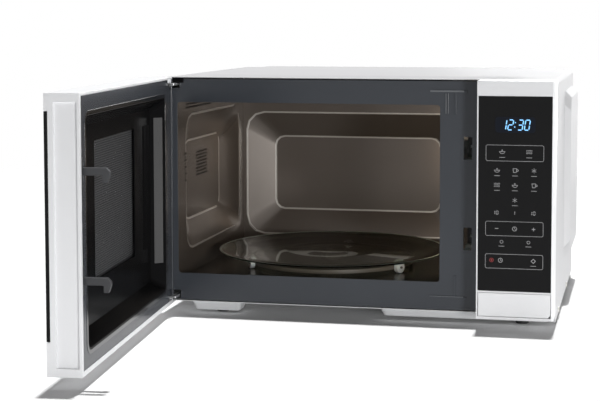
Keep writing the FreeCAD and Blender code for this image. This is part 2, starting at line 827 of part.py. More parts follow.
def front_plate():
    """The plate round the oven's mouth, with the latch slots and two pressed ribs."""
    plate = Body("front_plate")
    right = LEFT + s.front_plate_width
    top = TOP - s.steel - s.wrap_shadow_gap
    low_edge = LIP + s.steel + s.plate_floor_gap
    notch_x = INNER_LEFT + s.hinge_notch_width
    plate.pad(
        "XZ", FRONT, PLATE_BACK,
        outline([
            (INNER_LEFT, low_edge + s.hinge_notch_height), (notch_x, low_edge + s.hinge_notch_height),
            (notch_x, low_edge), (right, low_edge), (right, top), (notch_x, top),
            (notch_x, top - s.hinge_notch_height), (INNER_LEFT, top - s.hinge_notch_height),
        ]),
        rectangle(OPENING_LEFT, OPENING_LOW, OPENING_RIGHT, OPENING_HIGH, s.opening_corner_radius),
    )
    for low in (LIP + s.slot_low, LIP + s.slot_low + s.slot_spacing):
        plate.pocket("XZ", FRONT, PLATE_BACK, rectangle(SLOT_LEFT, low, SLOT_RIGHT, low + s.slot_height))
    bar_right = SLOT_RIGHT - s.rib_right_inset / 2
    stem_x = bar_right - s.rib_bar_length / 3
    for bar, towards in ((top - s.rib_top_inset, -1), (LIP + s.rib_low_inset, 1)):
        half = s.rib_width / 2
        plate.pad(
            "XZ", FRONT - s.rib_height, FRONT,
            outline([
                (bar_right - s.rib_bar_length, bar - half * towards), (bar_right, bar - half * towards),
                (bar_right, bar + half * towards), (stem_x + half, bar + half * towards),
                (stem_x + half, bar + s.rib_stem_length * towards),
                (stem_x - half, bar + s.rib_stem_length * towards),
                (stem_x - half, bar + half * towards),
                (bar_right - s.rib_bar_length, bar + half * towards),
            ]),
        )


def rear_panel():
    """The flat back of the cabinet, with slots for the cooling air and the cord's hole."""
    panel = Body("rear_panel")
    inside = BACK - s.steel
    high = TOP - s.steel - s.fit_gap
    panel.pad(
        "XZ", inside, BACK,
        outline([
            (INNER_LEFT, LIP + s.steel), (INNER_RIGHT, LIP + s.steel),
            (INNER_RIGHT, high, s.wrap_corner_radius), (INNER_LEFT, high, s.wrap_corner_radius),
        ]),
    )
    panel.pocket("XZ", inside, BACK, circle(GLAND_X, GLAND_Z, s.gland_neck + s.fit_gap))
    x = FAN_X - 6 * s.vent_pitch
    slots = [
        rectangle(x, z, x + s.vent_width, z + s.vent_height)
        for z in (FAN_Z - s.vent_height - s.vent_pitch, FAN_Z + s.vent_pitch)
    ]
    vents = panel.pocket("XZ", inside, BACK, *slots)
    panel.row([vents], "X", s.vent_pitch, 12)


def cavity():
    """Five welded sheets. Each is pressed outwards, so the oven's inside stays clear."""
    outer_left, outer_right = CAVITY_LEFT - s.steel, CAVITY_RIGHT + s.steel
    under, over = CAVITY_FLOOR - s.steel, CAVITY_ROOF + s.steel
    front, rear = PLATE_BACK + s.side_emboss_front, CAVITY_BACK - s.side_emboss_rear
    low_edge, high_edge = CAVITY_FLOOR + s.side_emboss_low, CAVITY_ROOF - s.side_emboss_high
    side_rim = faceted(front, low_edge, rear, high_edge, s.cavity_emboss_radius)
    side_flat = faceted(
        front + s.side_front_slope, low_edge + s.side_edge_slope,
        rear - s.side_rear_slope, high_edge - s.side_edge_slope, s.cavity_inner_radius,
    )
    for name, inner, outer in (
        ("cavity_left", CAVITY_LEFT, outer_left),
        ("cavity_right", CAVITY_RIGHT, outer_right),
    ):
        wall = Body(name)
        low, high = (outer, inner) if name == "cavity_left" else (inner, outer)
        wall.pad("YZ", low, high, rectangle(PLATE_BACK, under, CAVITY_BACK, over))
        if name == "cavity_left":
            for face, cut in ((outer, False), (inner, True)):
                wall.loft("YZ", face, side_rim, face - s.side_emboss_depth, side_flat, cut)
        else:
            lap = s.waveguide_lap
            wall.pocket(
                "YZ", inner, outer,
                rectangle(
                    GUIDE_Y + lap, GUIDE_Z + lap,
                    GUIDE_Y + s.waveguide_mouth - lap, GUIDE_Z + s.waveguide_height - lap,
                ),
            )
    floor = Body("cavity_floor")
    floor.pad(
        "XY", under, CAVITY_FLOOR,
        rectangle(CAVITY_LEFT, PLATE_BACK, CAVITY_RIGHT, CAVITY_BACK),
        circle(TURN_X, TURN_Y, s.shaft_hole_radius),
    )
    roof = Body("cavity_roof")
    roof.pad("XY", CAVITY_ROOF, over, rectangle(CAVITY_LEFT, PLATE_BACK, CAVITY_RIGHT, CAVITY_BACK))
    back = Body("cavity_back")
    back.pad("XZ", CAVITY_BACK, CAVITY_BACK + s.steel, rectangle(outer_left, under, outer_right, over))
    left, right = CAVITY_LEFT + s.back_emboss_side, CAVITY_RIGHT - s.back_emboss_side
    low_edge, high_edge = CAVITY_FLOOR + s.back_emboss_low, CAVITY_ROOF - s.back_emboss_high
    back_rim = faceted(left, low_edge, right, high_edge, s.cavity_emboss_radius)
    back_flat = faceted(
        left + s.back_side_slope, low_edge + s.back_edge_slope,
        right - s.back_side_slope, high_edge - s.back_edge_slope, s.cavity_inner_radius,
    )
    for face, cut in ((CAVITY_BACK + s.steel, False), (CAVITY_BACK, True)):
        back.loft("XZ", face, back_rim, face + s.back_emboss_depth, back_flat, cut)


def feet():
    """Four rubber feet. The right pair stands under the deeper bay, so it is shorter."""
    for name, x, y, drop in (
        ("foot_front_left", LEFT + s.foot_pad_inset + s.foot_pad_length / 2, FRONT + FOOT_IN, s.foot_pad_drop),
        ("foot_rear_left", LEFT + s.foot_pad_inset + s.foot_pad_length / 2, REAR_FOOT_Y, s.foot_pad_drop),
        ("foot_front_right", RIGHT - s.foot_side_inset, FRONT + FOOT_IN, s.bay_pan_depth),
        ("foot_rear_right", RIGHT - s.foot_side_inset, REAR_FOOT_Y, s.bay_pan_depth),
    ):
        foot = Body(name)
        foot.pad("XY", 0, LIP - drop, circle(0, 0, s.foot_radius))
        foot.place(x, y, 0)


# ---------------------------------------------------------------------------
# Control side
# ---------------------------------------------------------------------------
def control_fascia():
    """The white moulded housing that frames the glass and the door button."""
    fascia = Body("control_fascia")
    fascia.pad("XZ", FASCIA_FRONT, FRONT, rectangle(FASCIA_LEFT, FASCIA_LOW, RIGHT, TOP))
    fascia.fillet(
        s.fascia_edge_radius,
        lambda e: along(e, 2) and near(e.BoundBox.XMin, RIGHT) and near(e.BoundBox.YMin, FASCIA_FRONT),
    )
    wall = s.fascia_wall
    fascia.pocket(
        "XZ", FASCIA_INSIDE, FRONT,
        rectangle(FASCIA_LEFT + wall, FASCIA_LOW + wall, RIGHT - wall, TOP - wall),
    )
    fascia.pocket(
        "XZ", FASCIA_FRONT, FASCIA_FRONT + s.glass_thickness,
        rectangle(GLASS_LEFT, GLASS_LOW, GLASS_RIGHT, GLASS_HIGH),
    )
    fascia.pocket("XZ", FASCIA_FRONT, FASCIA_INSIDE, rectangle(GLASS_LEFT, BUTTON_LOW, GLASS_RIGHT, BUTTON_HIGH))
    gap = s.fit_gap
    fascia.pocket(
        "XZ", FASCIA_FRONT + s.glass_thickness, FASCIA_INSIDE,
        rectangle(DISPLAY_LEFT - gap, DISPLAY_LOW - gap, DISPLAY_RIGHT + gap, DISPLAY_HIGH + gap),
    )
    fascia.pad(
        "XZ", SPRING_SEAT, SPRING_SEAT + wall,
        rectangle(SPRING_X - s.leaf_width, FASCIA_LOW + wall, RIGHT - wall, BUTTON_HIGH),
    )
    posts = [
        circle(x, z, s.post_radius)
        for x in (BOARD_LEFT + s.board_hole_inset, BOARD_RIGHT - s.board_hole_inset)
        for z in (BOARD_LOW + s.board_hole_inset, BOARD_HIGH - s.board_hole_inset)
    ]
    fascia.pad("XZ", FASCIA_INSIDE, BOARD_FRONT, *posts)


def control_glass():
    glass = Body("control_glass")
    gap = s.fit_gap / 2
    glass.pad(
        "XZ", FASCIA_FRONT, FASCIA_FRONT + s.glass_thickness,
        rectangle(GLASS_LEFT + gap, GLASS_LOW + gap, GLASS_RIGHT - gap, GLASS_HIGH - gap),
    )


def control_electronics():
    """The display behind the glass, and the control board on the fascia's posts."""
    display = Body("display_module")
    display.pad(
        "XZ", FASCIA_FRONT + s.glass_thickness, BOARD_FRONT,
        rectangle(DISPLAY_LEFT, DISPLAY_LOW, DISPLAY_RIGHT, DISPLAY_HIGH),
    )
    board = Body("control_board")
    board.pad(
        "XZ", BOARD_FRONT, BOARD_BACK,
        rectangle(BOARD_LEFT, BOARD_LOW, BOARD_RIGHT, BOARD_HIGH),
    )
    x0, z0 = BOARD_LEFT + s.board_hole_inset, BOARD_LOW + s.board_hole_inset
    tall, wide = s.relay_height, s.relay_width
    board.pad(
        "XZ", BOARD_BACK, BOARD_BACK + s.relay_depth,
        rectangle(x0, z0, x0 + wide, z0 + tall),
        rectangle(x0 + 1.4 * wide, z0, x0 + 2.4 * wide, z0 + tall),
        rectangle(x0, z0 + 2 * tall, x0 + 2.4 * wide, z0 + 3.6 * tall),
        circle(x0 + wide / 2, z0 + 4.6 * tall, wide / 3),
        circle(x0 + 1.6 * wide, z0 + 4.6 * tall, wide / 4),
    )


def open_button():
    """The door button: a hollow cap with a push post that reaches the lever behind it."""
    button = Body("open_button")
    gap = s.button_gap
    x0, x1 = FASCIA_LEFT + s.fascia_wall + s.fit_gap, GLASS_RIGHT - gap
    z0, z1 = BUTTON_LOW + gap, BUTTON_HIGH - gap
    button.pad("XZ", FASCIA_FRONT, FASCIA_FRONT + s.button_skirt, rectangle(x0, z0, x1, z1))
    button.fillet(
        s.button_corner_radius,
        lambda e: along(e, 1) and near(e.BoundBox.XMin, x1) and near(e.BoundBox.ZMin, z0),
    )
    wall = s.button_wall
    button.pocket(
        "XZ", FASCIA_FRONT + wall, FASCIA_FRONT + s.button_skirt,
        rectangle(x0 + wall, z0 + wall, x1 - wall, z1 - wall, s.button_corner_radius / 2),
    )
    half = s.button_wall
    button.pad(
        "XZ", FASCIA_FRONT + wall, LEVER_FACE - s.fit_gap,
        rectangle(LEVER_X - half, PUSH_Z - half, LEVER_X + half, PUSH_Z + half),
    )
    rail = s.leaf_width / 2 + s.fit_gap
    for side in (SPRING_X - rail - wall, SPRING_X + rail):
        button.pad("XZ", FASCIA_FRONT + wall, FASCIA_FRONT + s.button_skirt / 2, rectangle(side, z0, side + wall, z1))


def button_spring():
    """The bent leaf spring that sends the button back, between the cap and the fascia's rib."""
    spring = Body("button_spring")
    start = FASCIA_FRONT + s.button_wall + s.fit_gap
    stop = SPRING_SEAT - s.fit_gap
    bend, leaf = (start + stop) / 2, s.leaf_thickness
    high, low = SPRING_Z + s.leaf_height / 2, SPRING_Z - s.leaf_height / 2
    spring.pad(
        "YZ", SPRING_X - s.leaf_width / 2, SPRING_X + s.leaf_width / 2,
        outline([
            (start, high), (start + leaf, high), (bend, low + 2 * leaf), (stop - leaf, high),
            (stop, high), (bend + leaf, low), (bend - leaf, low),
        ]),
    )


def coil(body, radius, wire, height, turns):
    """A helix of square wire about the body's own Z axis."""
    half = wire / 2
    profile = body.sketch("XZ", 0, [rectangle(radius - wire, -half, radius, half)])
    helix = body.body.newObject("PartDesign::AdditiveHelix", body.name("helix"))
    helix.Profile = profile
    helix.ReferenceAxis = (profile, ["V_Axis"])
    helix.Mode = "height-turns-angle"
    bind(helix, "Height", height)
    bind(helix, "Turns", turns)


def interlock():
    """The latch bracket behind the front plate, its lever and the three door switches."""
    bracket = Body("latch_bracket")
    z0, z1 = LIP + s.slot_low - s.bracket_margin, LIP + s.slot_low + s.slot_spacing + s.slot_height + s.bracket_margin
    x0, x1 = CAVITY_RIGHT + s.steel + s.bracket_wall, BRACKET_RIGHT
    wall, gap = s.bracket_wall, s.button_gap
    windows = [
        rectangle(SLOT_LEFT - gap, low - gap, SLOT_RIGHT + gap, low + s.slot_height + gap)
        for low in (LIP + s.slot_low, LIP + s.slot_low + s.slot_spacing)
    ]
    bracket.pad("XZ", PLATE_BACK, PLATE_BACK + wall, rectangle(x0, z0, x1, z1), *windows)
    bracket.pad("YZ", x1 - wall, x1, rectangle(PLATE_BACK, z0, PLATE_BACK + s.bracket_depth, z1))
    for low in (LIP + s.slot_low, LIP + s.slot_low + s.slot_spacing):
        bracket.pad(
            "XY", low - gap - wall, low - gap,
            rectangle(SLOT_LEFT - wall, PLATE_BACK + wall, x1, PLATE_BACK + s.ledge_depth),
        )
    arm = s.lever_arm
    bracket.pocket(
        "YZ", x1 - wall, x1,
        rectangle(LIFT_Y - 2 * arm - s.lever_clearance, z0 - 1, LIFT_Y + 1, LIFT_Z + s.lever_clearance),
    )
    bracket.pad("YZ", x1, LEVER_X - s.lever_width / 2 - s.fit_gap, circle(LEVER_Y, LEVER_Z, s.boss_radius))
    for i, z in enumerate(SWITCH_LOWS, start=1):
        switch = Body(f"door_switch_{i}")
        x = x1 - wall
        switch.pad(
            "YZ", x - s.switch_width, x, rectangle(SWITCH_FRONT, z, SWITCH_FRONT + s.switch_depth, z + s.switch_height)
        )
        middle = z + s.switch_height / 2
        switch.pocket(
            "XZ", SWITCH_FRONT, SWITCH_FRONT + s.switch_depth / 3,
            rectangle(
                x - s.switch_width / 2 - s.plunger_half - s.fit_gap, middle - s.plunger_half - s.fit_gap,
                x - s.switch_width / 2 + s.plunger_half + s.fit_gap, middle + s.plunger_half + s.fit_gap,
            ),
        )
        plunger = Body(f"switch_plunger_{i}")
        plunger.pad(
            "XZ", SWITCH_FRONT - s.plunger_travel - s.fit_gap, SWITCH_FRONT + s.switch_depth / 3 - s.plunger_travel - s.fit_gap,
            rectangle(
                x - s.switch_width / 2 - s.plunger_half, middle - s.plunger_half,
                x - s.switch_width / 2 + s.plunger_half, middle + s.plunger_half,
            ),
        )


def interlock_lever():
    """A bell crank: the button pushes its long arm back, and its short arm lifts."""
    lever = Body("interlock_lever")
    half = s.lever_width / 2
    arm = s.lever_arm
    lever.pad(
        "YZ", LEVER_X - s.lever_width / 2, LEVER_X + s.lever_width / 2,
        outline([
            (LEVER_FACE, PUSH_Z - arm), (LEVER_FACE + arm, PUSH_Z - arm),
            (LEVER_FACE + arm, LEVER_Z - arm / 2), (LIFT_Y, LIFT_Z - arm), (LIFT_Y, LIFT_Z),
            (LEVER_Y, LIFT_Z), (LEVER_FACE, LEVER_Z + arm / 2),
        ]),
    )
    lever.pad(
        "YZ", SLOT_LEFT + s.button_gap, LEVER_X - half,
        rectangle(LIFT_Y - 2 * arm, LIFT_Z - arm, LIFT_Y, LIFT_Z),
    )
    lever.pocket("YZ", LEVER_X - half, LEVER_X + half, circle(LEVER_Y, LEVER_Z, s.lever_pin_radius + s.shaft_clearance))
    pin = Body("lever_pin")
    end = LEVER_X + half + s.fit_gap
    pin.pad("YZ", LEVER_X - half - s.fit_gap, end, circle(LEVER_Y, LEVER_Z, s.lever_pin_radius))
    pin.pad("YZ", end, end + s.bracket_wall, circle(LEVER_Y, LEVER_Z, s.boss_radius))


# ---------------------------------------------------------------------------
# Power side: the bay to the right of the cavity
# ---------------------------------------------------------------------------
def waveguide():
    """The duct that leads the microwaves to the cavity, and the sheet that covers its mouth."""
    duct = Body("waveguide")
    wall = s.waveguide_wall
    right = BAY_LEFT + s.waveguide_depth
    y0, y1 = GUIDE_Y, GUIDE_Y + s.waveguide_length
    z0, z1 = GUIDE_Z, GUIDE_Z + s.waveguide_height
    duct.pad("YZ", BAY_LEFT, right, rectangle(y0, z0, y1, z1))
    duct.pocket("YZ", BAY_LEFT, right - wall, rectangle(y0 + wall, z0 + wall, y1 - wall, z1 - wall))
    duct.pocket("YZ", right - wall, right, circle(TUBE_Y, TUBE_Z, s.antenna_radius + s.fit_gap))
    flange = s.waveguide_flange
    duct.pad(
        "YZ", BAY_LEFT, BAY_LEFT + wall,
        rectangle(y0 - flange, z0 - flange, y1 + flange, z1 + flange),
        rectangle(y0 + wall, z0 + wall, y1 - wall, z1 - wall),
    )
    cover = Body("waveguide_cover")
    cover.pad(
        "YZ", CAVITY_RIGHT - s.steel, CAVITY_RIGHT,
        rectangle(y0, z0, y0 + s.waveguide_mouth, z1, s.opening_corner_radius),
    )


def magnetron():
    """The tube: mounting plate, yoke, cooling fins, filter box and antenna."""
    tube = Body("magnetron")
    x = BAY_LEFT + s.waveguide_depth
    half_y, half_z, sheet_metal = s.magnetron_length / 2, s.magnetron_height / 2, 2 * s.steel

    def block(inset):
        return rectangle(
            TUBE_Y - half_y + inset, TUBE_Z - half_z + inset, TUBE_Y + half_y - inset, TUBE_Z + half_z - inset
        )

    tube.pad("YZ", x, x + sheet_metal, block(0))
    yoke = x + sheet_metal + s.magnetron_width
    tube.pad("YZ", x + sheet_metal, yoke, block(3), block(5))
    tube.pad("YZ", yoke, yoke + sheet_metal, block(3))
    tube.pad("YZ", x + sheet_metal, yoke, octagon(TUBE_Y, TUBE_Z, s.magnetron_core_radius))
    fin = tube.pad(
        "YZ", x + sheet_metal + s.fin_pitch, x + sheet_metal + s.fin_pitch + s.steel,
        rectangle(TUBE_Y - half_y + 5, TUBE_Z - half_z + 12, TUBE_Y + half_y - 5, TUBE_Z + half_z - 12),
    )
    tube.row([fin], "X", s.fin_pitch, 8)
    tube.pad("YZ", yoke + sheet_metal, yoke + sheet_metal + s.filter_box_depth, block(14))
    tube.pad("YZ", x - s.antenna_length, x, circle(TUBE_Y, TUBE_Z, s.antenna_radius))


def high_voltage():
    """Transformer, capacitor and diode on the floor of the deep bay."""
    core = Body("hv_transformer")
    x0, y0 = BAY_LEFT + s.transformer_left, FRONT + s.transformer_setback
    x1, y1 = x0 + s.transformer_width, y0 + s.transformer_stack
    foot, high = BAY_FLOOR + 2 * s.steel, BAY_FLOOR + s.transformer_height
    core.pad("XY", BAY_FLOOR, foot, rectangle(x0 - 8, y0, x1 + 8, y1))
    core.pad("XZ", y0, y1, rectangle(x0, foot, x1, high))
    for start, stop in ((y0 - s.coil_overhang, y0), (y1, y1 + s.coil_overhang)):
        for low, tall in ((0.12, 0.3), (0.52, 0.3)):
            core.pad(
                "XZ", start, stop,
                rectangle(
                    x0 + 14, foot + s.transformer_height * low,
                    x1 - 14, foot + s.transformer_height * (low + tall), s.emboss_corner_radius / 3,
                ),
            )
    can = Body("hv_capacitor")
    cx, cy = BAY_LEFT + s.capacitor_left, y1 + s.coil_overhang + s.capacitor_gap
    top = BAY_FLOOR + s.capacitor_height
    can.pad(
        "XY", BAY_FLOOR, top,
        rectangle(cx, cy, cx + s.capacitor_width, cy + s.capacitor_depth, s.capacitor_depth / 2.2),
    )
    middle = cy + s.capacitor_depth / 2
    for share in (0.28, 0.72):
        x = cx + s.capacitor_width * share
        can.pad("XY", top, top + 3, circle(x, middle, 5))
        can.pad("XY", top + 3, top + 11, rectangle(x - 3, middle - 0.4, x + 3, middle + 0.4))
    diode = Body("hv_diode")
    diode.pad("XY", top, top + 7, rectangle(cx + s.capacitor_width / 2 - 5, cy + 2, cx + s.capacitor_width / 2 + 5, cy + 9))


def cooling_fan():
    """Shroud on the rear panel, motor on the shroud's bridge, and the bladed wheel."""
    shroud = Body("fan_shroud")
    inside = BACK - s.steel
    front = inside - s.shroud_depth
    half = s.fan_radius + s.shroud_margin
    wall = s.fascia_wall
    shroud.pad(
        "XZ", front, inside,
        rectangle(FAN_X - half, FAN_Z - half, FAN_X + half, FAN_Z + half, s.emboss_corner_radius / 2),
        circle(FAN_X, FAN_Z, s.fan_radius + 2),
    )
    bridge = s.bridge_width / 2
    shroud.pad(
        "XZ", front, front + wall,
        rectangle(FAN_X - half + 1, FAN_Z - bridge, FAN_X + half - 1, FAN_Z + bridge),
        circle(FAN_X, FAN_Z, s.fan_shaft_radius + 1),
    )
    motor = Body("fan_motor")
    stack = s.fan_motor_depth
    motor.pad(
        "XZ", front - stack, front,
        rectangle(FAN_X - s.fan_motor_width / 2, FAN_Z - s.fan_motor_height / 2,
                  FAN_X + s.fan_motor_width / 2, FAN_Z + s.fan_motor_height / 2),
        circle(FAN_X, FAN_Z, s.fan_shaft_radius + s.shaft_clearance),
    )
    motor.pad(
        "XZ", front - stack - 8, front - stack,
        circle(FAN_X - s.fan_motor_width / 4, FAN_Z, s.fan_motor_height / 4),
    )
    wheel = Body("fan_blade")
    hub = s.fan_hub_radius
    depth = s.shroud_depth - wall - 2 * s.fan_margin
    wheel.pad("XY", 0, depth, circle(0, 0, hub))
    wheel.pad("XY", depth, depth + wall + s.fan_margin + stack / 2, circle(0, 0, s.fan_shaft_radius))
    tip = s.fan_radius
    lift = s.blade_thickness
    half, rise = s.blade_chord / 2, s.blade_chord / 2 * s.blade_pitch
    blade = wheel.pad(
        "YZ", hub - lift, tip + lift,
        outline([
            (-half, depth / 2 - rise), (-half + lift, depth / 2 - rise),
            (half + lift, depth / 2 + rise), (half, depth / 2 + rise),
        ]),
    )
    wheel.ring([blade], "Z", 6)
    wheel.pocket("XY", 0, depth, circle(0, 0, 2 * tip), circle(0, 0, tip))
    wheel.place(FAN_X, inside - s.fan_margin, FAN_Z, 90, (1, 0, 0))


def rear_fittings():
    """The line filter on the rear panel, the cord's gland, and the oven lamp and cutout."""
    inside = BACK - s.steel
    board = Body("filter_board")
    spacer = s.filter_spacer
    x0, x1 = FAN_X - s.filter_width / 2, FAN_X + s.filter_width / 2
    z1 = TOP - s.filter_top_inset
    z0 = z1 - s.filter_height
    board.pad("XZ", inside - spacer - s.board_thickness, inside - spacer, rectangle(x0, z0, x1, z1))
    edge, gap = s.filter_edge, s.filter_part_gap
    posts = [octagon(x, z, s.post_radius) for x in (x0 + edge, x1 - edge) for z in (z0 + edge, z1 - edge)]
    board.pad("XZ", inside - spacer, inside, *posts)
    face = inside - spacer - s.board_thickness
    can_end = x0 + gap + s.filter_can_width
    board.pad("XZ", face - s.filter_can_depth, face, rectangle(x0 + gap, z0 + edge, can_end, z1 - edge))
    coil_x, coil_z = can_end + gap + s.filter_coil_radius, (z0 + z1) / 2
    board.pad(
        "XZ", face - s.filter_coil_depth, face,
        circle(coil_x, coil_z, s.filter_coil_radius), circle(coil_x, coil_z, s.filter_coil_bore),
    )
    gland = Body("cord_gland")
    bore, neck, flange = s.gland_bore, s.gland_neck, s.gland_flange
    hole, body = octagon(0, 0, bore), octagon(0, 0, neck * OCTAGON_IN)
    gland.pad("XY", -8, -s.steel - s.gland_grip, octagon(0, 0, flange), hole)
    gland.pad("XY", -s.steel - s.gland_grip, 0, body, hole)
    gland.pad("XY", 0, 3, octagon(0, 0, flange), hole)
    gland.pad("XY", 3, 9, body, hole)
    gland.place(GLAND_X, BACK, GLAND_Z, -90, (1, 0, 0))
    lamp = Body("oven_lamp")
    y, z = CAVITY_BACK - s.lamp_inset, CAVITY_ROOF - s.lamp_drop
    lamp.pad("YZ", BAY_LEFT, BAY_LEFT + 12, rectangle(y - 14, z - 12, y + 14, z + 12))
    lamp.pad("YZ", BAY_LEFT + 12, BAY_LEFT + 30, circle(y, z, 8))
    cutout = Body("thermal_cutout")
    roof = CAVITY_ROOF + s.steel
    x = TURN_X + s.cutout_offset
    cutout.pad("XY", roof, roof + 1, rectangle(x - 16, TURN_Y - 7, x + 16, TURN_Y + 7, 3))
    cutout.pad("XY", roof + 1, roof + 9, circle(x, TURN_Y, 7))


def screws():
    """Pan heads of the screws that hold the cover: two low on each side, six on the back."""
    heads = Body("cover_screws")
    radius, height = s.screw_radius, s.screw_height
    z = LIP - s.wrap_skirt / 2
    ys = [FRONT + s.screw_front, FRONT + s.screw_rear]
    heads.pad("YZ", RIGHT, RIGHT + height, *[octagon(y, z, radius) for y in ys])
    heads.pad("YZ", LEFT - height, LEFT, *[octagon(y, z, radius) for y in ys])
    edge = s.screw_edge
    points = [(x, h) for x in (LEFT + edge, 0, RIGHT - edge) for h in (LIP + edge, TOP - edge)]
    heads.pad("XZ", BACK, BACK + height, *[octagon(x, h, radius) for x, h in points])


# ---------------------------------------------------------------------------
# Turntable
# ---------------------------------------------------------------------------
def turntable():
    """Motor under the floor, coupler, roller ring with three wheels, and the glass tray."""
    under = CAVITY_FLOOR - s.steel
    motor = Body("turntable_motor")
    bore = s.coupler_shaft_radius + s.shaft_clearance
    motor.pad("XY", -s.turn_motor_height, 0, circle(0, 0, s.turn_motor_radius), circle(0, 0, bore))
    motor.pad(
        "XY", -2 * s.steel, 0,
        rectangle(-s.turn_motor_radius - 8, -6, s.turn_motor_radius + 8, 6), circle(0, 0, bore),
    )
    motor.place(TURN_X, TURN_Y, under)

    coupler = Body("turntable_coupler")
    seat = TRAY_LIFT - s.fit_gap
    coupler.pad("XY", -s.steel - s.turn_motor_height / 2, s.fit_gap + 1, circle(0, 0, s.coupler_shaft_radius))
    coupler.pad("XY", s.fit_gap + 1, seat, circle(0, 0, s.coupler_radius * 0.55))
    arm = coupler.pad(
        "XY", seat - s.coupler_height, seat,
        rectangle(0, -s.coupler_arm / 2, s.coupler_radius, s.coupler_arm / 2),
    )
    coupler.ring([arm], "Z", 3)
    coupler.place(TURN_X, TURN_Y, CAVITY_FLOOR)

    tray = Body("glass_tray")
    radius, glass, rim = s.tray_radius, s.tray_glass, s.tray_rim_height
    tray.turned(outline([
        (0, 0), (radius - 30, 0), (radius, rim - glass * 0.5),
        (radius, rim), (radius - 4, rim), (radius - 32, glass), (0, glass),
    ]))
    lug = tray.pad("XY", -s.coupler_height / 2, 0, octagon(-s.coupler_radius * 0.8, 0, s.tray_lug_radius))
    tray.ring([lug], "Z", 3)
    tray.place(TURN_X, TURN_Y, CAVITY_FLOOR + TRAY_LIFT)

    ring = Body("roller_ring")
    axle = s.roller_radius + s.fit_gap
    half = s.ring_section / 2
    inner = s.roller_track_radius - s.roller_width / 2 - 1 - s.ring_section
    outer = inner + s.ring_section
    ring.turned(rectangle(inner, axle - half, outer, axle + half))
    axle_end = s.roller_track_radius + s.roller_width / 2 + s.roller_axle_radius
    pin = ring.pad("YZ", outer - 1, axle_end, octagon(0, axle, s.roller_axle_radius * OCTAGON_IN))
    ring.ring([pin], "Z", 3)
    ring.place(TURN_X, TURN_Y, CAVITY_FLOOR, s.roller_angle)
    for i in range(3):
        wheel = Body(f"roller_{i + 1}")
        low, high = s.roller_track_radius - s.roller_width / 2, s.roller_track_radius + s.roller_width / 2
        wheel.pad(
            "YZ", low, high,
            circle(0, axle, s.roller_radius), circle(0, axle, s.roller_axle_radius + s.shaft_clearance),
        )
        wheel.place(TURN_X, TURN_Y, CAVITY_FLOOR, s.roller_angle + 120 * i)


# ---------------------------------------------------------------------------
# Door, drawn shut with the hinge axis as its origin, and then turned open
# ---------------------------------------------------------------------------
def door_piece(label):
    return Body(label).place(HINGE_X, HINGE_Y, 0, -s.door_open_angle)


def hinges():
    """Two steel plates from behind the front plate, each with a pin for the door."""
    for name, low, pin_way in (("hinge_upper", HINGE_TOP, 1), ("hinge_lower", HINGE_LOW, -1)):
        high = low + s.hinge_thickness
        hinge = Body(name)
        x0, x1 = LEFT + s.hinge_edge, LEFT + s.hinge_plate_width
        hinge.pad("XY", low, high, rectangle(x0, HINGE_Y - s.hinge_nose, x1, PLATE_BACK + s.hinge_thickness, 1))
        leg = CAVITY_LEFT - s.steel - s.side_emboss_depth - s.fit_gap
        down, up = (high - s.hinge_leg, high) if pin_way > 0 else (low, low + s.hinge_leg)
        hinge.pad("XZ", PLATE_BACK, PLATE_BACK + s.hinge_thickness, rectangle(x0, down, leg, up))
        start, stop = (high, high + s.hinge_pin_length) if pin_way > 0 else (low - s.hinge_pin_length, low)
        hinge.pad("XY", start, stop, circle(HINGE_X, HINGE_Y, s.hinge_pin_radius))


def door_frame():
    """The white moulded door: open at the back, recessed for the glass, grooved on its free edge."""
    frame = door_piece("door_frame")
    wall = s.door_wall
    frame.pad("XZ", DOOR_FRONT, DOOR_BACK, rectangle(DOOR_LEFT, DOOR_LOW, DOOR_RIGHT, DOOR_HIGH))
    frame.fillet(
        s.door_edge_radius,
        lambda e: along(e, 2) and near(e.BoundBox.XMin, DOOR_LEFT) and near(e.BoundBox.YMin, DOOR_FRONT),
    )
    frame.pocket(
        "XZ", DOOR_FRONT, DOOR_FRONT + s.door_glass_thickness,
        rectangle(DOOR_LEFT + s.panel_inset, GLASS_LOW, DOOR_RIGHT + 1, GLASS_HIGH),
    )
    frame.pocket(
        "XZ", DOOR_INSIDE, DOOR_BACK,
        rectangle(DOOR_LEFT + wall, DOOR_LOW + wall, FREE_WALL, DOOR_HIGH - wall),
    )
    frame.pocket("XZ", DOOR_FRONT, DOOR_INSIDE, rectangle(*grown(WINDOW, s.window_margin)))
    frame.pocket(
        "YZ", DOOR_RIGHT - s.edge_channel_depth, DOOR_RIGHT,
        rectangle(
            DOOR_FRONT + s.edge_channel_front, DOOR_LOW + s.edge_channel_end,
            DOOR_BACK - s.edge_channel_rear, DOOR_HIGH - s.edge_channel_end,
        ),
    )
    room = s.hinge_room
    for low, high, block_low, block_high in (
        (HINGE_TOP - room, HINGE_TOP + s.hinge_thickness + room, HINGE_TOP + s.hinge_thickness + room, DOOR_HIGH),
        (HINGE_LOW - room, HINGE_LOW + s.hinge_thickness + room, DOOR_LOW, HINGE_LOW - room),
    ):
        frame.pad(
            "XY", block_low, block_high, rectangle(DOOR_LEFT, -s.hinge_boss, s.hinge_boss, s.hinge_boss)
        )
        frame.pocket(
            "XY", low, high,
            rectangle(DOOR_LEFT - 1, -s.hinge_nose - 1, DOOR_LEFT + s.hinge_plate_width + 2, DOOR_BACK + 1),
        )
    deep = s.hinge_pin_length + s.fit_gap
    bore = circle(0, 0, s.hinge_pin_radius + s.hinge_pin_clearance)
    frame.pocket("XY", HINGE_TOP + s.hinge_thickness, HINGE_TOP + s.hinge_thickness + deep, bore)
    frame.pocket("XY", HINGE_LOW - deep, HINGE_LOW, bore)


def grown(box, margin):
    x0, y0, x1, y1 = box[:4]
    return (x0 - margin, y0 - margin, x1 + margin, y1 + margin, *box[4:])


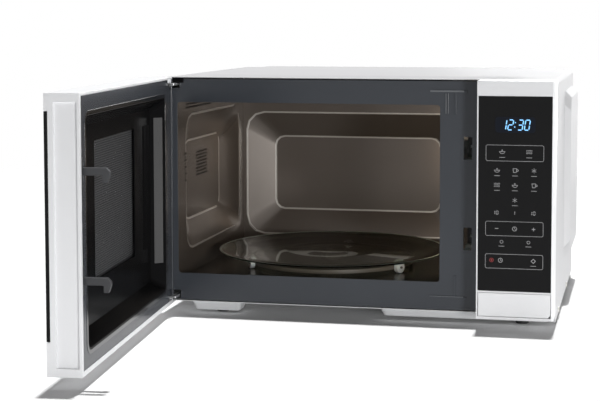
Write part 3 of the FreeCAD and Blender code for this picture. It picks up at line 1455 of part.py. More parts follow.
def door_sheets():
    """Glass, steel panel, choke tray with its window, clear pane and black choke cover."""
    gap = s.fit_gap
    glass = door_piece("door_glass")
    glass.pad(
        "XZ", DOOR_FRONT, DOOR_FRONT + s.door_glass_thickness,
        rectangle(DOOR_LEFT + s.panel_inset + gap, GLASS_LOW + gap, DOOR_RIGHT, GLASS_HIGH - gap),
    )

    panel = door_piece("door_panel")
    outer = (DOOR_LEFT + s.door_wall + gap, DOOR_LOW + s.door_wall + gap, FREE_WALL - gap, DOOR_HIGH - s.door_wall - gap)
    panel.pad("XZ", PANEL_BACK - s.steel, PANEL_BACK, rectangle(*outer), rectangle(*CHOKE))
    panel.pad(
        "XZ", PANEL_BACK - s.panel_flange, PANEL_BACK - s.steel,
        rectangle(*outer), rectangle(*grown(outer, -1 * s.steel)),
    )
    for low in HOOK_LOWS:
        panel.pocket(
            "XZ", PANEL_BACK - s.steel, PANEL_BACK,
            rectangle(
                HOOK_X - s.hook_thickness / 2 - s.button_gap, low - s.hook_tip - s.button_gap,
                HOOK_X + s.hook_thickness / 2 + s.button_gap, low + s.hook_height + s.latch_travel + s.button_gap,
            ),
        )
    tab = LATCH_LOW - 2 * s.fit_gap - s.latch_spring_length - s.steel
    half = s.latch_bar_width / 2
    panel.pad(
        "XY", tab, tab + s.steel,
        rectangle(HOOK_X - half, LATCH_BACK - 2 * s.latch_spring_radius, HOOK_X + half, PANEL_BACK - s.steel),
    )
    notch = DOOR_LEFT + s.hinge_plate_width + 2
    for low in (HINGE_TOP, HINGE_LOW):
        panel.pocket(
            "XZ", PANEL_BACK - s.panel_flange, PANEL_BACK,
            rectangle(
                outer[0] - 1, low - s.hinge_room if low is HINGE_TOP else outer[1] - 1,
                notch, outer[3] + 1 if low is HINGE_TOP else low + s.hinge_thickness + s.hinge_room,
            ),
        )

    tray = door_piece("window_screen")
    rim = grown(CHOKE, s.choke_tray_margin)
    tray.pad("XZ", TRAY_BACK - s.steel, TRAY_BACK, rectangle(*rim))
    tray.pad("XZ", TRAY_BACK, PANEL_BACK - s.steel, rectangle(*rim), rectangle(*grown(rim, -1 * s.steel)))

    pane = door_piece("window_pane")
    pane.pad("XZ", TRAY_BACK, TRAY_BACK + s.pane_thickness, rectangle(*grown(WINDOW, s.window_margin / 2)))

    cover = door_piece("choke_cover")
    lip = grown(CHOKE, -1 * gap)
    slope, wall, depth = s.choke_slope, s.choke_wall, s.choke_depth
    cover.loft("XZ", PANEL_BACK, rectangle(*lip), PANEL_BACK - depth, rectangle(*grown(lip, -1 * slope)))
    cover.loft(
        "XZ", PANEL_BACK, rectangle(*grown(lip, -1 * wall)),
        PANEL_BACK - depth + wall, rectangle(*grown(lip, -1 * (slope + wall))), cut=True,
    )
    cover.pocket("XZ", PANEL_BACK - depth, PANEL_BACK, rectangle(*WINDOW))
    floor = PANEL_BACK - depth + wall
    ridge = cover.pad(
        "XZ", floor, floor + s.ridge_height,
        rectangle(RIDGE_X, WINDOW[1], RIDGE_X + s.ridge_width, WINDOW[3]),
    )
    cover.row([ridge], "X", s.ridge_pitch, 5)


def door_latch():
    """One sliding piece with two hooks, and the spring that holds it down."""
    latch = door_piece("door_latch")
    back = LATCH_BACK
    half, side = s.latch_bar_width / 2, s.hook_thickness / 2
    latch.pad(
        "XZ", back - s.latch_bar_thickness, back,
        rectangle(HOOK_X - half, LATCH_LOW, HOOK_X + half, HOOK_LOWS[1] + s.hook_height + s.latch_bar_end),
    )
    tip = DOOR_BACK + s.hook_reach
    for low in HOOK_LOWS:
        latch.pad(
            "YZ", HOOK_X - side, HOOK_X + side,
            outline([
                (back, low), (tip - s.hook_height, low), (tip - s.hook_height, low - s.hook_tip),
                (tip - s.hook_height / 3, low - s.hook_tip), (tip, low), (tip, low + s.hook_height / 2),
                (tip - s.hook_height / 2, low + s.hook_height), (back, low + s.hook_height),
            ]),
        )
    spring = Body("latch_spring")
    wire = s.latch_spring_wire
    coil(spring, s.latch_spring_radius, wire, s.latch_spring_length - wire, s.latch_spring_turns)
    y = LATCH_BACK - s.latch_spring_radius
    angle = s.door_open_angle
    spring.place(
        HINGE_X + HOOK_X * cosine(angle) + y * sine(angle),
        HINGE_Y - HOOK_X * sine(angle) + y * cosine(angle),
        LATCH_LOW - s.fit_gap - s.latch_spring_length + wire / 2,
    )


for build in (
    outer_wrap, base_plate, front_plate, rear_panel, cavity, feet,
    control_fascia, control_glass, control_electronics, open_button, button_spring,
    interlock, interlock_lever,
    waveguide, magnetron, high_voltage, cooling_fan, rear_fittings, screws,
    turntable, hinges, door_frame, door_sheets, door_latch,
):
    build()


# ---------------------------------------------------------------------------
# Checks and files
# ---------------------------------------------------------------------------
def check(thing):
    """Stops the build if a piece failed, or if a feature did not add or cut anything."""
    for part in [thing, *getattr(thing, "Group", [])]:
        if "Invalid" in part.State or "Error" in part.State:
            raise RuntimeError(f"{part.Name} failed: {part.State}")
    if thing.Shape.isNull() or not thing.Shape.isValid():
        raise RuntimeError(f"{thing.Label}: the shape is empty or not valid")
    volume = 0
    for feature in getattr(thing, "Group", []):
        if not feature.isDerivedFrom("PartDesign::Feature"):
            continue
        now = feature.Shape.Volume
        cutting = feature.TypeId in (
            "PartDesign::Pocket", "PartDesign::Groove", "PartDesign::SubtractiveLoft",
        )
        adding = feature.TypeId in (
            "PartDesign::Pad", "PartDesign::Revolution", "PartDesign::AdditiveLoft",
        )
        if (cutting and now > volume - 1e-6) or (adding and now < volume + 1e-6):
            raise RuntimeError(f"{feature.Name} changed nothing")
        volume = now


def write():
    doc.recompute()
    os.makedirs("parts", exist_ok=True)
    for thing in PIECES:
        check(thing)
    for thing in PIECES:
        thing.Shape.exportStep(os.path.join("parts", thing.Label + ".step"))
        box = thing.Shape.BoundBox
        print(
            f"{thing.Label:22} solids {len(thing.Shape.Solids)} volume {thing.Shape.Volume / 1000:9.1f} cm3"
            f"  x {box.XMin:7.1f} {box.XMax:7.1f}  y {box.YMin:7.1f} {box.YMax:7.1f}"
            f"  z {box.ZMin:7.1f} {box.ZMax:7.1f}"
        )


write()
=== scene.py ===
# %% [markdown]
# A countertop microwave oven with its door swung open. The solids come from the packed
# model, so every size and place below is read from them, and this script adds the looks:
# rounded edges, printed marks, small fittings, finishes, light and a camera.

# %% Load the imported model
import json
import math

import bpy
from mathutils import Matrix, Vector


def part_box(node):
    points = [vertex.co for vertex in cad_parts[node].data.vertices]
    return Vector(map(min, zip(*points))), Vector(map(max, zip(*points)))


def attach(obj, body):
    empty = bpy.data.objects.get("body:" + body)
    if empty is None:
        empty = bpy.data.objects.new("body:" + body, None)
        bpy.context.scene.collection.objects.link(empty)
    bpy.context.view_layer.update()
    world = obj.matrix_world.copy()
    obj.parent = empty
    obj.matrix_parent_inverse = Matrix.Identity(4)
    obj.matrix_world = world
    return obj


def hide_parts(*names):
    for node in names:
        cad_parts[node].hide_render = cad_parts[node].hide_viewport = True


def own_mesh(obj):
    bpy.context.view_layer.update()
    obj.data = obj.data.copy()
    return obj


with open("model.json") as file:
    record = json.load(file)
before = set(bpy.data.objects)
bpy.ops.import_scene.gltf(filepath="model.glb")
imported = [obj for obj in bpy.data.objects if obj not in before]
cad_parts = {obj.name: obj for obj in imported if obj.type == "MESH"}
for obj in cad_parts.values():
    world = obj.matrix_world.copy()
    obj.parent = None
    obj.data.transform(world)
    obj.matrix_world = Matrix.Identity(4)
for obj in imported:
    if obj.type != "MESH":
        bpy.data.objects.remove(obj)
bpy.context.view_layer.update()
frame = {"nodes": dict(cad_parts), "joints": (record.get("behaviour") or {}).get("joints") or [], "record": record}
MM = 0.001
BODY_OF = {
    node: body
    for body, members in frame["record"]["behaviour"]["bodies"].items()
    for node in members
}
SLOT_OF = {part["node"]: part["material_slot"] for part in frame["record"]["subparts"]}

# %% [markdown]
# Operators act on whatever is selected, and loading leaves the nodes selected. So two
# habits come first: clear the selection before adding anything, and pick faces or edges
# by their place instead of by clicking them.


# %% Selecting
def clear_selection():
    if bpy.context.object and bpy.context.object.mode != "OBJECT":
        bpy.ops.object.mode_set(mode="OBJECT")
    bpy.ops.object.select_all(action="DESELECT")


def take(piece):
    """Makes one piece the only selected one, and the active one."""
    clear_selection()
    piece.select_set(True)
    bpy.context.view_layer.objects.active = piece
    return piece


def edit(piece, mode="FACE"):
    """Opens a piece in edit mode, with all of it selected."""
    take(piece)
    bpy.ops.object.mode_set(mode="EDIT")
    bpy.ops.mesh.select_mode(type=mode)
    bpy.ops.mesh.select_all(action="SELECT")


def pick_faces(piece, wanted):
    """In edit mode, selects just the wanted faces."""
    bpy.ops.mesh.select_mode(type="FACE")
    bpy.ops.mesh.select_all(action="DESELECT")
    bpy.ops.object.mode_set(mode="OBJECT")
    for face in piece.data.polygons:
        face.select = wanted(face)
    bpy.ops.object.mode_set(mode="EDIT")


def done():
    bpy.ops.object.mode_set(mode="OBJECT")
    return bpy.context.object


# %% [markdown]
# Three moves come back all the time in edit mode: draw out what is selected, round the
# corners of a flat face, and turn every face outwards, since mirroring and extruding can
# leave some of them inside out.


# %% Edit mode moves
def extrude(x, y, z):
    bpy.ops.mesh.extrude_region_move(TRANSFORM_OT_translate={"value": (x, y, z)})


def round_corners(piece, radius, segments=5):
    """Opens a flat piece in edit mode and rounds its corners."""
    edit(piece, "VERT")
    bpy.ops.mesh.bevel(offset=radius, segments=segments, affect="VERTICES")


def face_outwards():
    bpy.ops.mesh.select_all(action="SELECT")
    bpy.ops.mesh.normals_make_consistent(inside=False)


# %% [markdown]
# A piece's place is kept in its mesh, with its object at the origin, as the packed
# nodes have it. Every finished piece gets a material, rides on a body of the model so
# that it moves with it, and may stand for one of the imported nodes.


# %% Finishing a piece
def linked(name, mesh):
    """Puts a mesh into the scene as a new object."""
    piece = bpy.data.objects.new(name, mesh)
    bpy.context.scene.collection.objects.link(piece)
    return piece


def settle(piece, name):
    """Applies the object's place to its mesh and names it."""
    take(piece)
    bpy.ops.object.transform_apply(location=True, rotation=True, scale=True)
    piece.name = name
    piece.data.name = name
    return piece


def apply_modifier(piece, kind, **settings):
    take(piece)
    modifier = piece.modifiers.new(kind.title(), kind)
    for key, value in settings.items():
        setattr(modifier, key, value)
    bpy.ops.object.modifier_apply(modifier=modifier.name)


def smooth(piece, degrees=35):
    """Smooth shading that keeps big flat faces flat beside their rounded edges."""
    take(piece)
    bpy.ops.object.shade_smooth_by_angle(angle=math.radians(degrees))
    apply_modifier(piece, "WEIGHTED_NORMAL", keep_sharp=True)
    return piece


def dress(piece, finish, body, slot, *nodes):
    piece.data.materials.clear()
    piece.data.materials.append(finish.material)
    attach(piece, body)
    if nodes:
        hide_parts(*nodes)
    return piece


# %% [markdown]
# Materials are built by a small class. A Signal is one socket of the node tree, and
# plain sums on it add Math nodes, so a pattern reads as a formula. A Finish holds the
# material, its pattern coordinates and the shader, and one method adds every node.


# %% Shader maths
class Signal:
    """A number that varies over a surface."""

    def __init__(self, finish, socket):
        self.finish = finish
        self.socket = socket

    def joined(self, operation, first, second):
        node = self.finish.add("ShaderNodeMath", {"operation": operation}, {0: first, 1: second})
        return Signal(self.finish, node.outputs[0])

    def __add__(self, other):
        return self.joined("ADD", self, other)

    def __sub__(self, other):
        return self.joined("SUBTRACT", self, other)

    def __rsub__(self, other):
        return self.joined("SUBTRACT", other, self)

    def __mul__(self, other):
        return self.joined("MULTIPLY", self, other)

    def __truediv__(self, other):
        return self.joined("DIVIDE", self, other)

    def __lt__(self, other):
        return self.joined("LESS_THAN", self, other)

    __radd__ = __add__
    __rmul__ = __mul__


class Finish:
    """A material with one Principled shader. Constants go on the shader's own sockets."""

    def __init__(self, name, **constants):
        self.material = bpy.data.materials.new(name)
        self.material.use_nodes = True
        self.tree = self.material.node_tree
        self.shader = self.tree.nodes["Principled BSDF"]
        for socket, value in constants.items():
            self.shader.inputs[socket.replace("_", " ")].default_value = value
        self.place = self.add("ShaderNodeTexCoord").outputs["Object"]

    def add(self, kind, settings=None, inputs=None):
        node = self.tree.nodes.new(kind)
        for key, value in (settings or {}).items():
            setattr(node, key, value)
        for socket, value in (inputs or {}).items():
            if isinstance(value, Signal):
                value = value.socket
            if isinstance(value, bpy.types.NodeSocket):
                self.tree.links.new(value, node.inputs[socket])
            else:
                node.inputs[socket].default_value = value
        return node

    def noise(self, scale, detail=3.0, vector=None):
        node = self.add(
            "ShaderNodeTexNoise", None,
            {"Vector": vector or self.place, "Scale": scale, "Detail": detail},
        )
        return Signal(self, node.outputs[0])

    def stretched(self, x, y, z):
        """Pattern coordinates drawn out along an axis, for brushed and rolled metal."""
        node = self.add("ShaderNodeMapping", None, {"Vector": self.place, "Scale": (x, y, z)})
        return node.outputs[0]

    def blend(self, amount, first, second):
        node = self.add(
            "ShaderNodeMix", {"data_type": "RGBA"}, {0: amount, 6: (*first, 1), 7: (*second, 1)}
        )
        return node.outputs[2]

    def feed(self, **signals):
        for socket, value in signals.items():
            socket = self.shader.inputs[socket.replace("_", " ")]
            self.tree.links.new(value.socket if isinstance(value, Signal) else value, socket)
        return self

    def bump(self, height, depth_mm, strength=0.5):
        node = self.add(
            "ShaderNodeBump", None,
            {"Strength": strength, "Distance": depth_mm * MM, "Height": height},
        )
        return self.feed(Normal=node.outputs[0])


# %% [markdown]
# Painted steel is never one flat colour: the sprayed coat has a faint orange peel, its
# tone drifts a little and fingers leave it glossier here and there. One function makes
# that kind of coat, and each finish gives it its own colour, grain and wear.


# %% Coats
SMUDGE = 0.08


def coat(name, colour, rough, grain, drift, depth_mm=0.05, metal=0.0, **constants):
    """A sprayed or moulded coat: grain per metre, drift of its tone, depth of its peel."""
    finish = Finish(name, Metallic=metal, **constants)
    tone = finish.noise(9.0)
    dark = [channel * (1 - drift) for channel in colour]
    light = [min(channel * (1 + drift), 1.0) for channel in colour]
    finish.feed(Base_Color=finish.blend(tone, dark, light))
    finish.feed(Roughness=rough + SMUDGE * (finish.noise(26.0, 4.0) - 0.5))
    return finish.bump(finish.noise(grain, 2.0), depth_mm)


CHOKE_BLACK = (0.0060, 0.0060, 0.0064)
white_enamel = coat(
    "white_enamel", (0.64, 0.64, 0.65), 0.55, 900, 0.015, Specular_IOR_Level=0.03
)
white_plastic = coat("white_plastic", (0.85, 0.855, 0.87), 0.36, 2600, 0.012)
slate_enamel = coat(
    "slate_enamel", (0.046, 0.051, 0.060), 0.24, 1100, 0.08, Specular_IOR_Level=0.3
)
# a paler slate for the rib strips: a painted highlight on the ribs' lit flanks
rib_highlight_enamel = coat("rib_highlight_enamel", (0.120, 0.128, 0.138), 0.30, 1100, 0.08)
choke_plastic = coat(
    "choke_plastic", CHOKE_BLACK, 0.22, 1800, 0.10, 0.002, Specular_IOR_Level=0.02
)
lip_plastic = coat("lip_plastic", CHOKE_BLACK, 0.16, 1800, 0.10, 0.002, Specular_IOR_Level=0.9)
latch_plastic = coat("latch_plastic", (0.026, 0.027, 0.030), 0.50, 1800, 0.08, 0.1)
rubber = coat("rubber", (0.022, 0.022, 0.023), 0.78, 1500, 0.15, 0.2)
nylon = coat("nylon", (0.72, 0.72, 0.69), 0.40, 1700, 0.03, Subsurface_Weight=0.1)
tan_nylon = coat("tan_nylon", (0.13, 0.11, 0.085), 0.45, 1700, 0.06)
mica = coat("mica", (0.30, 0.25, 0.18), 0.55, 500, 0.18, 0.2)
switch_black = coat("switch_black", (0.020, 0.020, 0.022), 0.5, 1500, 0.1, 0.1)
board_green = coat("board_green", (0.020, 0.110, 0.045), 0.45, 700, 0.15, 0.1)
print("coats:", len(bpy.data.materials))

# %% [markdown]
# The oven's inside is steel under a thin grey-brown enamel with metal flakes. It shines
# a little like metal, so it is part metallic, and a fine cell pattern stands for the
# flakes. The pressed folds get a second, lighter enamel, a painted highlight for the
# shine along them.


# %% Cavity enamel
def flaked_enamel(name, dark, light, rough):
    finish = Finish(name, Metallic=0.4)
    cells = finish.add("ShaderNodeTexVoronoi", None, {"Vector": finish.place, "Scale": 2200.0})
    fleck = Signal(finish, cells.outputs["Distance"]) * 0.35 + finish.noise(7.0) * 0.6
    finish.feed(Base_Color=finish.blend(fleck, dark, light))
    finish.feed(Roughness=rough + 0.06 * finish.noise(18.0))
    return finish.bump(finish.noise(800.0, 2.0), 0.02, 0.2)


cavity_enamel = flaked_enamel(
    "cavity_enamel", (0.086, 0.073, 0.063), (0.132, 0.113, 0.098), 0.22
)
# a paler enamel for the fold faces: a painted highlight along the pressed folds
fold_highlight_enamel = flaked_enamel("fold_highlight_enamel", (0.36, 0.34, 0.31), (0.46, 0.44, 0.41), 0.20)
print("enamels:", cavity_enamel.material.name, fold_highlight_enamel.material.name)

# %% [markdown]
# Bare sheet metal comes in two kinds here. Galvanised plate shows a spangle, a cell
# pattern in its tone and gloss. Rolled aluminium and plated parts show fine lines along
# one direction, made with coordinates that are drawn out along that axis.


# %% Bare metals
def galvanised():
    finish = Finish("galvanised_steel", Metallic=0.9)
    cells = finish.add("ShaderNodeTexVoronoi", None, {"Vector": finish.place, "Scale": 130.0})
    tone = Signal(finish, cells.outputs["Distance"]) * 0.9
    finish.feed(Base_Color=finish.blend(tone, (0.58, 0.59, 0.60), (0.74, 0.75, 0.76)))
    finish.feed(Roughness=0.30 + 0.16 * tone)
    return finish.bump(finish.noise(500.0), 0.1, 0.3)


def rolled(name, colour, rough):
    finish = Finish(name, Metallic=1.0)
    lines = finish.noise(400.0, 3.0, finish.stretched(1.0, 0.06, 1.0))
    light = [min(channel * 1.15, 1.0) for channel in colour]
    finish.feed(Base_Color=finish.blend(lines, colour, light))
    finish.feed(Roughness=rough + 0.12 * (lines - 0.5))
    return finish.bump(lines, 0.05, 0.3)


zinc = galvanised()
base_zinc = coat("base_zinc", (0.80, 0.81, 0.82), 0.42, 500, 0.05, metal=0.15)
aluminium = rolled("aluminium", (0.66, 0.67, 0.68), 0.30)
plated = rolled("plated_steel", (0.60, 0.59, 0.56), 0.26)
motor_steel = rolled("motor_steel", (0.30, 0.30, 0.31), 0.40)
print("finishes so far:", len(bpy.data.materials))

# %% [markdown]
# Glass is told by its gloss. The door's front and the control side are black glass, so
# nearly all that shows is reflection and faint smears. The turntable tray is clear with
# the green cast of soda glass, and the pane in the door is a thin clear sheet.


# %% Glasses
def black_sheet():
    finish = Finish("black_glass", Specular_IOR_Level=0.12)
    smear = finish.noise(14.0, 5.0)
    clean, smeared = (0.0050, 0.0050, 0.0054), (0.0080, 0.0080, 0.0084)
    finish.feed(Base_Color=finish.blend(smear, clean, smeared))
    finish.feed(Roughness=0.10 + 0.10 * smear)
    return finish


def clear_sheet(name, colour, rough, **constants):
    finish = Finish(name, Transmission_Weight=1.0, IOR=1.5, **constants)
    wave = finish.noise(30.0)
    pale = [min(channel * 1.02, 1.0) for channel in colour]
    finish.feed(Base_Color=finish.blend(wave, colour, pale))
    finish.feed(Roughness=rough + 0.02 * wave)
    return finish.bump(wave, 0.2, 0.05)


black_glass = black_sheet()
tray_glass = clear_sheet("tray_glass", (0.46, 0.53, 0.46), 0.0)
# a pale opaque green for the rim's top faces: a painted highlight on the glass rim
rim_highlight_glass = coat("rim_highlight_glass", (0.40, 0.47, 0.41), 0.10, 300, 0.06, 0.02)
pane_plastic = clear_sheet(
    "pane_plastic", (0.86, 0.87, 0.86), 0.30, Alpha=0.08, Specular_IOR_Level=0.05
)
print("glasses:", black_glass.material.name, tray_glass.material.name)

# %% [markdown]
# The door's metal screen is punched all over with small round holes. They are far too
# many to cut, so the finish draws them: coordinates are turned into the door's own
# plane, folded into cells, and the distance to each cell's middle says hole or metal.
# For that, and for the trim later on, the door's hinge line and angle are read first.

# %% Door placement
hinge = next(joint for joint in frame["joints"] if joint["name"] == "door_hinge")
HINGE = Vector(hinge["pos_m"])
OPEN_ANGLE = math.radians(hinge["range_deg"][1])
DOOR = Matrix.Translation((HINGE.x, HINGE.y, 0)) @ Matrix.Rotation(-OPEN_ANGLE, 4, "Z")
print("the door stands open by", round(math.degrees(OPEN_ANGLE)), "degrees")


# %% Punched screen
def punched(pitch, share):
    """Black enamel with a grid of holes, in the plane of the open door."""
    finish = Finish("punched_screen", Metallic=0.1, Specular_IOR_Level=0.2)
    turned = finish.add(
        "ShaderNodeMapping", {"vector_type": "POINT"},
        {"Vector": finish.place, "Rotation": (0, 0, OPEN_ANGLE)},
    ).outputs[0]
    axes = finish.add("ShaderNodeSeparateXYZ", None, {0: turned})
    squares = []
    for axis in (0, 2):
        cell = Signal(finish, axes.outputs[axis]) / pitch
        fold = finish.add("ShaderNodeMath", {"operation": "FRACT"}, {0: cell}).outputs[0]
        offset = Signal(finish, fold) - 0.5
        squares.append(offset * offset)
    hole = (squares[0] + squares[1]) < share * share
    finish.feed(Base_Color=finish.blend(hole, (0.075, 0.076, 0.080), (0.004, 0.004, 0.004)))
    finish.feed(Roughness=0.6 + 0.3 * hole)
    return finish.bump(1 - hole, 0.4, 0.6)


SCREEN_PITCH = 2.6 * MM
punched_screen = punched(SCREEN_PITCH, share=0.34)
print("screen holes every", round(SCREEN_PITCH / MM, 1), "mm")

# %% [markdown]
# The marks on the control side are printed in pale grey, the stop mark in dark red, and
# the clock's digits glow light blue behind the glass, with a faint haze round them.


# %% Printed and lit marks
def ink(name, colour):
    finish = Finish(name)
    worn = finish.noise(600.0)
    finish.feed(Base_Color=finish.blend(worn, [c * 0.82 for c in colour], colour))
    finish.feed(Roughness=0.45 + 0.1 * worn)
    return finish


def glow(name, colour, strength):
    unlit = (*[c * 0.2 for c in colour], 1)
    finish = Finish(
        name, Emission_Strength=strength, Roughness=0.3, Specular_IOR_Level=0.03, Base_Color=unlit
    )
    pulse = finish.noise(90.0)
    finish.feed(Emission_Color=finish.blend(pulse, [c * 0.85 for c in colour], colour))
    return finish


grey_ink = ink("grey_ink", (0.46, 0.46, 0.47))
red_ink = ink("red_ink", (0.22, 0.012, 0.012))
lit_digits = glow("lit_digits", (0.26, 0.60, 1.0), 1.5)
lit_haze = glow("lit_haze", (0.018, 0.021, 0.030), 0.5)
print("finishes:", len(bpy.data.materials))

# %% [markdown]
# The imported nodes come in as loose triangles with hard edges. For each one that shows,
# a copy is made and its doubles merged, flat areas joined and its sharp edges given a
# small round by a Bevel modifier, because no real edge is perfectly sharp and it is
# the round that catches the light.


# %% Rounded copies of nodes
DOUBLES = 0.01 * MM


def merged_copy(node):
    """A copy of a node with its loose triangles merged and its flats made one face each."""
    piece = linked("seen_" + node, frame["nodes"][node].data.copy())
    edit(piece, "VERT")
    bpy.ops.mesh.remove_doubles(threshold=DOUBLES)
    bpy.ops.mesh.dissolve_limited(angle_limit=math.radians(0.6))
    return done()


def rounded(node, finish, round_mm):
    """Stands for a node with a merged copy whose sharp edges have a small round."""
    piece = merged_copy(node)
    if round_mm:
        apply_modifier(
            piece, "BEVEL", width=round_mm * MM, segments=2,
            limit_method="ANGLE", angle_limit=math.radians(40), use_clamp_overlap=True,
        )
    smooth(piece)
    return dress(piece, finish, BODY_OF[node], SLOT_OF[node], node)


def round_all(finish, round_mm, *nodes):
    for node in nodes:
        piece = rounded(node, finish, round_mm)
        print(piece.name, len(piece.data.polygons), "faces")


# %% [markdown]
# The size of the round follows how each part is made: moulded plastic has the softest
# edges, folded and painted sheet less, and thin glass and screens hardly any.

# %% Cabinet and door shells
round_all(white_enamel, 0.25, "outer_wrap", "rear_panel")
round_all(white_plastic, 0.6, "control_fascia", "open_button", "door_frame")
round_all(slate_enamel, 0.4, "front_plate", "door_panel")
round_all(black_glass, 0.4, "control_glass", "door_glass")
round_all(choke_plastic, 0.4, "choke_cover")
round_all(punched_screen, 0.2, "window_screen")
round_all(pane_plastic, 0.2, "window_pane")
round_all(latch_plastic, 0.7, "door_latch")
round_all(zinc, 0.25, "hinge_upper", "hinge_lower")
round_all(base_zinc, 0.25, "base_plate")

# %% [markdown]
# The oven's walls are pressed from sheet, so the edges of their panels are soft folds. A
# Bevel modifier would clamp at the sheet's own thin edge, so here the folds are picked by
# their place, inside the wall's outline, and by the angle between their two faces, and
# bevelled in edit mode. The narrow faces that this makes get the paler enamel, a painted
# highlight along each fold.


# %% The oven's inside
FOLD = 1.4 * MM
OUTLINE = 3 * MM


def longest(piece, face):
    """The length of a face's longest side."""
    points = [piece.data.vertices[corner].co for corner in face.vertices]
    return max((a - b).length for a, b in zip(points, points[1:] + points[:1]))


def pressed(node):
    """Stands for a pressed wall, with the folds inside its outline rounded."""
    piece = merged_copy(node)
    low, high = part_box(node)
    thin = min(range(3), key=lambda axis: (high - low)[axis])
    across = [axis for axis in range(3) if axis != thin]

    def inside(point):
        return all(low[axis] + OUTLINE < point[axis] < high[axis] - OUTLINE for axis in across)

    dress(piece, cavity_enamel, BODY_OF[node], SLOT_OF[node], node)
    piece.data.materials.append(fold_highlight_enamel.material)
    within = [inside(vertex.co) for vertex in piece.data.vertices]
    normals = {}
    for face in piece.data.polygons:
        for key in face.edge_keys:
            normals.setdefault(key, []).append(face.normal.copy())
    edit(piece, "EDGE")
    bpy.ops.mesh.select_all(action="DESELECT")
    bpy.ops.object.mode_set(mode="OBJECT")
    for fold in piece.data.edges:
        sides = normals[fold.key]
        start, end = (piece.data.vertices[tip].co for tip in fold.vertices)
        upright = abs(end.z - start.z) > 0.9 * (end - start).length
        limit = math.radians(6 if upright else 14)
        sharp = len(sides) > 1 and sides[0].angle(sides[1]) > limit
        fold.select = sharp and all(within[tip] for tip in fold.vertices)
    bpy.ops.object.mode_set(mode="EDIT")
    bpy.ops.mesh.bevel(offset=FOLD, segments=3, affect="EDGES", clamp_overlap=False)

    def on_fold(face):
        return inside(face.center) and face.area < 0.8 * FOLD * longest(piece, face)

    # painted highlight: the narrow fold faces get the paler enamel
    pick_faces(piece, on_fold)
    piece.active_material_index = 1
    bpy.ops.object.material_slot_assign()
    done()
    smooth(piece, 42)
    print(piece.name, len(piece.data.polygons), "faces")


for node in ("cavity_left", "cavity_back"):
    pressed(node)
round_all(cavity_enamel, 0.0, "cavity_right", "cavity_floor", "cavity_roof")
round_all(mica, 0.2, "waveguide_cover")
round_all(nylon, 0.3, "roller_1", "roller_2", "roller_3")
round_all(tan_nylon, 0.3, "turntable_coupler", "roller_ring")

# %% [markdown]
# Parts inside the electronics bay show only through the slots and from below, so their
# nodes stay as they are and just get finishes.

# %% Parts in the bay
BAY_FINISHES = {
    zinc: "latch_spring lever_pin",
    nylon: "interlock_lever latch_bracket switch_plunger_1 switch_plunger_2 switch_plunger_3"
           " thermal_cutout fan_shroud",
    switch_black: "door_switch_1 door_switch_2 door_switch_3 cord_gland hv_diode fan_blade"
                  " display_module",
    board_green: "control_board filter_board",
    aluminium: "waveguide magnetron hv_capacitor oven_lamp",
    motor_steel: "fan_motor turntable_motor hv_transformer",
}
for finish, names in BAY_FINISHES.items():
    for name in names.split():
        frame["nodes"][name].data.materials.clear()
        frame["nodes"][name].data.materials.append(finish.material)
    print(finish.material.name, "on", names)

# %% [markdown]
# Pressing the button shortens its coil spring. The spring's stand-in gets its own mesh,
# and the share of its length that it keeps at the button's full travel is worked out.

# %% Button spring
press = next(joint for joint in frame["joints"] if joint["name"] == "button_press")
spring_low, spring_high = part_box("button_spring")
spring = rounded("button_spring", zinc, 0.0)
kept = 1 - press["range_m"][1] / (spring_high.y - spring_low.y)
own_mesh(spring)
print("the pressed spring keeps", round(kept, 3), "of its length")

# %% [markdown]
# A round piece such as the tray is made from one disc. Its rim is extruded up step by
# step and scaled at each step, which draws the profile as a potter would.


# %% Round pieces
def potted(name, centre, profile, sides):
    """Extrudes a disc through a profile of (radius, height) pairs in metres."""
    clear_selection()
    radius, height = profile[0]
    start = Vector(centre) + Vector((0, 0, height))
    bpy.ops.mesh.primitive_circle_add(
        vertices=sides, radius=radius, location=start, fill_type="NGON"
    )
    piece = settle(bpy.context.object, name)
    edit(piece)
    for (r0, h0), (r1, h1) in zip(profile, profile[1:]):
        extrude(0, 0, h1 - h0)
        bpy.ops.transform.resize(value=(r1 / r0, r1 / r0, 1), center_override=centre)
    face_outwards()
    return done()


# %% [markdown]
# The glass tray is pressed: a flat floor, a ring-shaped step near the middle, a sloping
# side and a rounded rim. The faces at the very top of the rim get a second, opaque pale
# green finish: the green of the glass's edge together with a painted highlight along the rim.

# %% Glass tray
low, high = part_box("glass_tray")
TRAY_MIDDLE = Vector(((low.x + high.x) / 2, (low.y + high.y) / 2, 0))
TRAY_RADIUS = (high.x - low.x) / 2
TRAY_TOP = high.z
TRAY_DEPTH = 7 * MM
RIM_PROFILE = (  # millimetres in from the rim, and up from the tray's underside
    (30, 0), (10, 2.9), (2, 4.6), (0.4, 5.4), (0, 6.2), (0.8, 6.9),
    (2.4, 7), (4.2, 6.7), (14, 5.2), (32, 4),
)
STEP_PROFILE = ((64, 4), (62, 3.6), (30, 3.6), (28, 4))  # radius and height, millimetres
profile = [(TRAY_RADIUS - inset * MM, height * MM) for inset, height in RIM_PROFILE]
profile += [(radius * MM, height * MM) for radius, height in STEP_PROFILE]
tray = potted(
    "glass_tray_clear", (TRAY_MIDDLE.x, TRAY_MIDDLE.y, TRAY_TOP - TRAY_DEPTH), profile, sides=128
)
smooth(tray, 40)
dress(tray, tray_glass, "tray", "clear_glass", "glass_tray")
# painted highlight: the rim's top faces get the pale opaque green
tray.data.materials.append(rim_highlight_glass.material)
edit(tray)
pick_faces(tray, lambda face: face.center.z > TRAY_TOP - 0.3 * MM)
tray.active_material_index = 1
bpy.ops.object.material_slot_assign()
done()
print("tray radius", round(TRAY_RADIUS / MM, 1), "mm")

# %% [markdown]
# Boxes are the commonest start: one stands between two corners, and gets its edges
# bevelled in edit mode. Small pieces that belong together are joined into one object,
# and what repeats is copied, each copy with its own mesh.


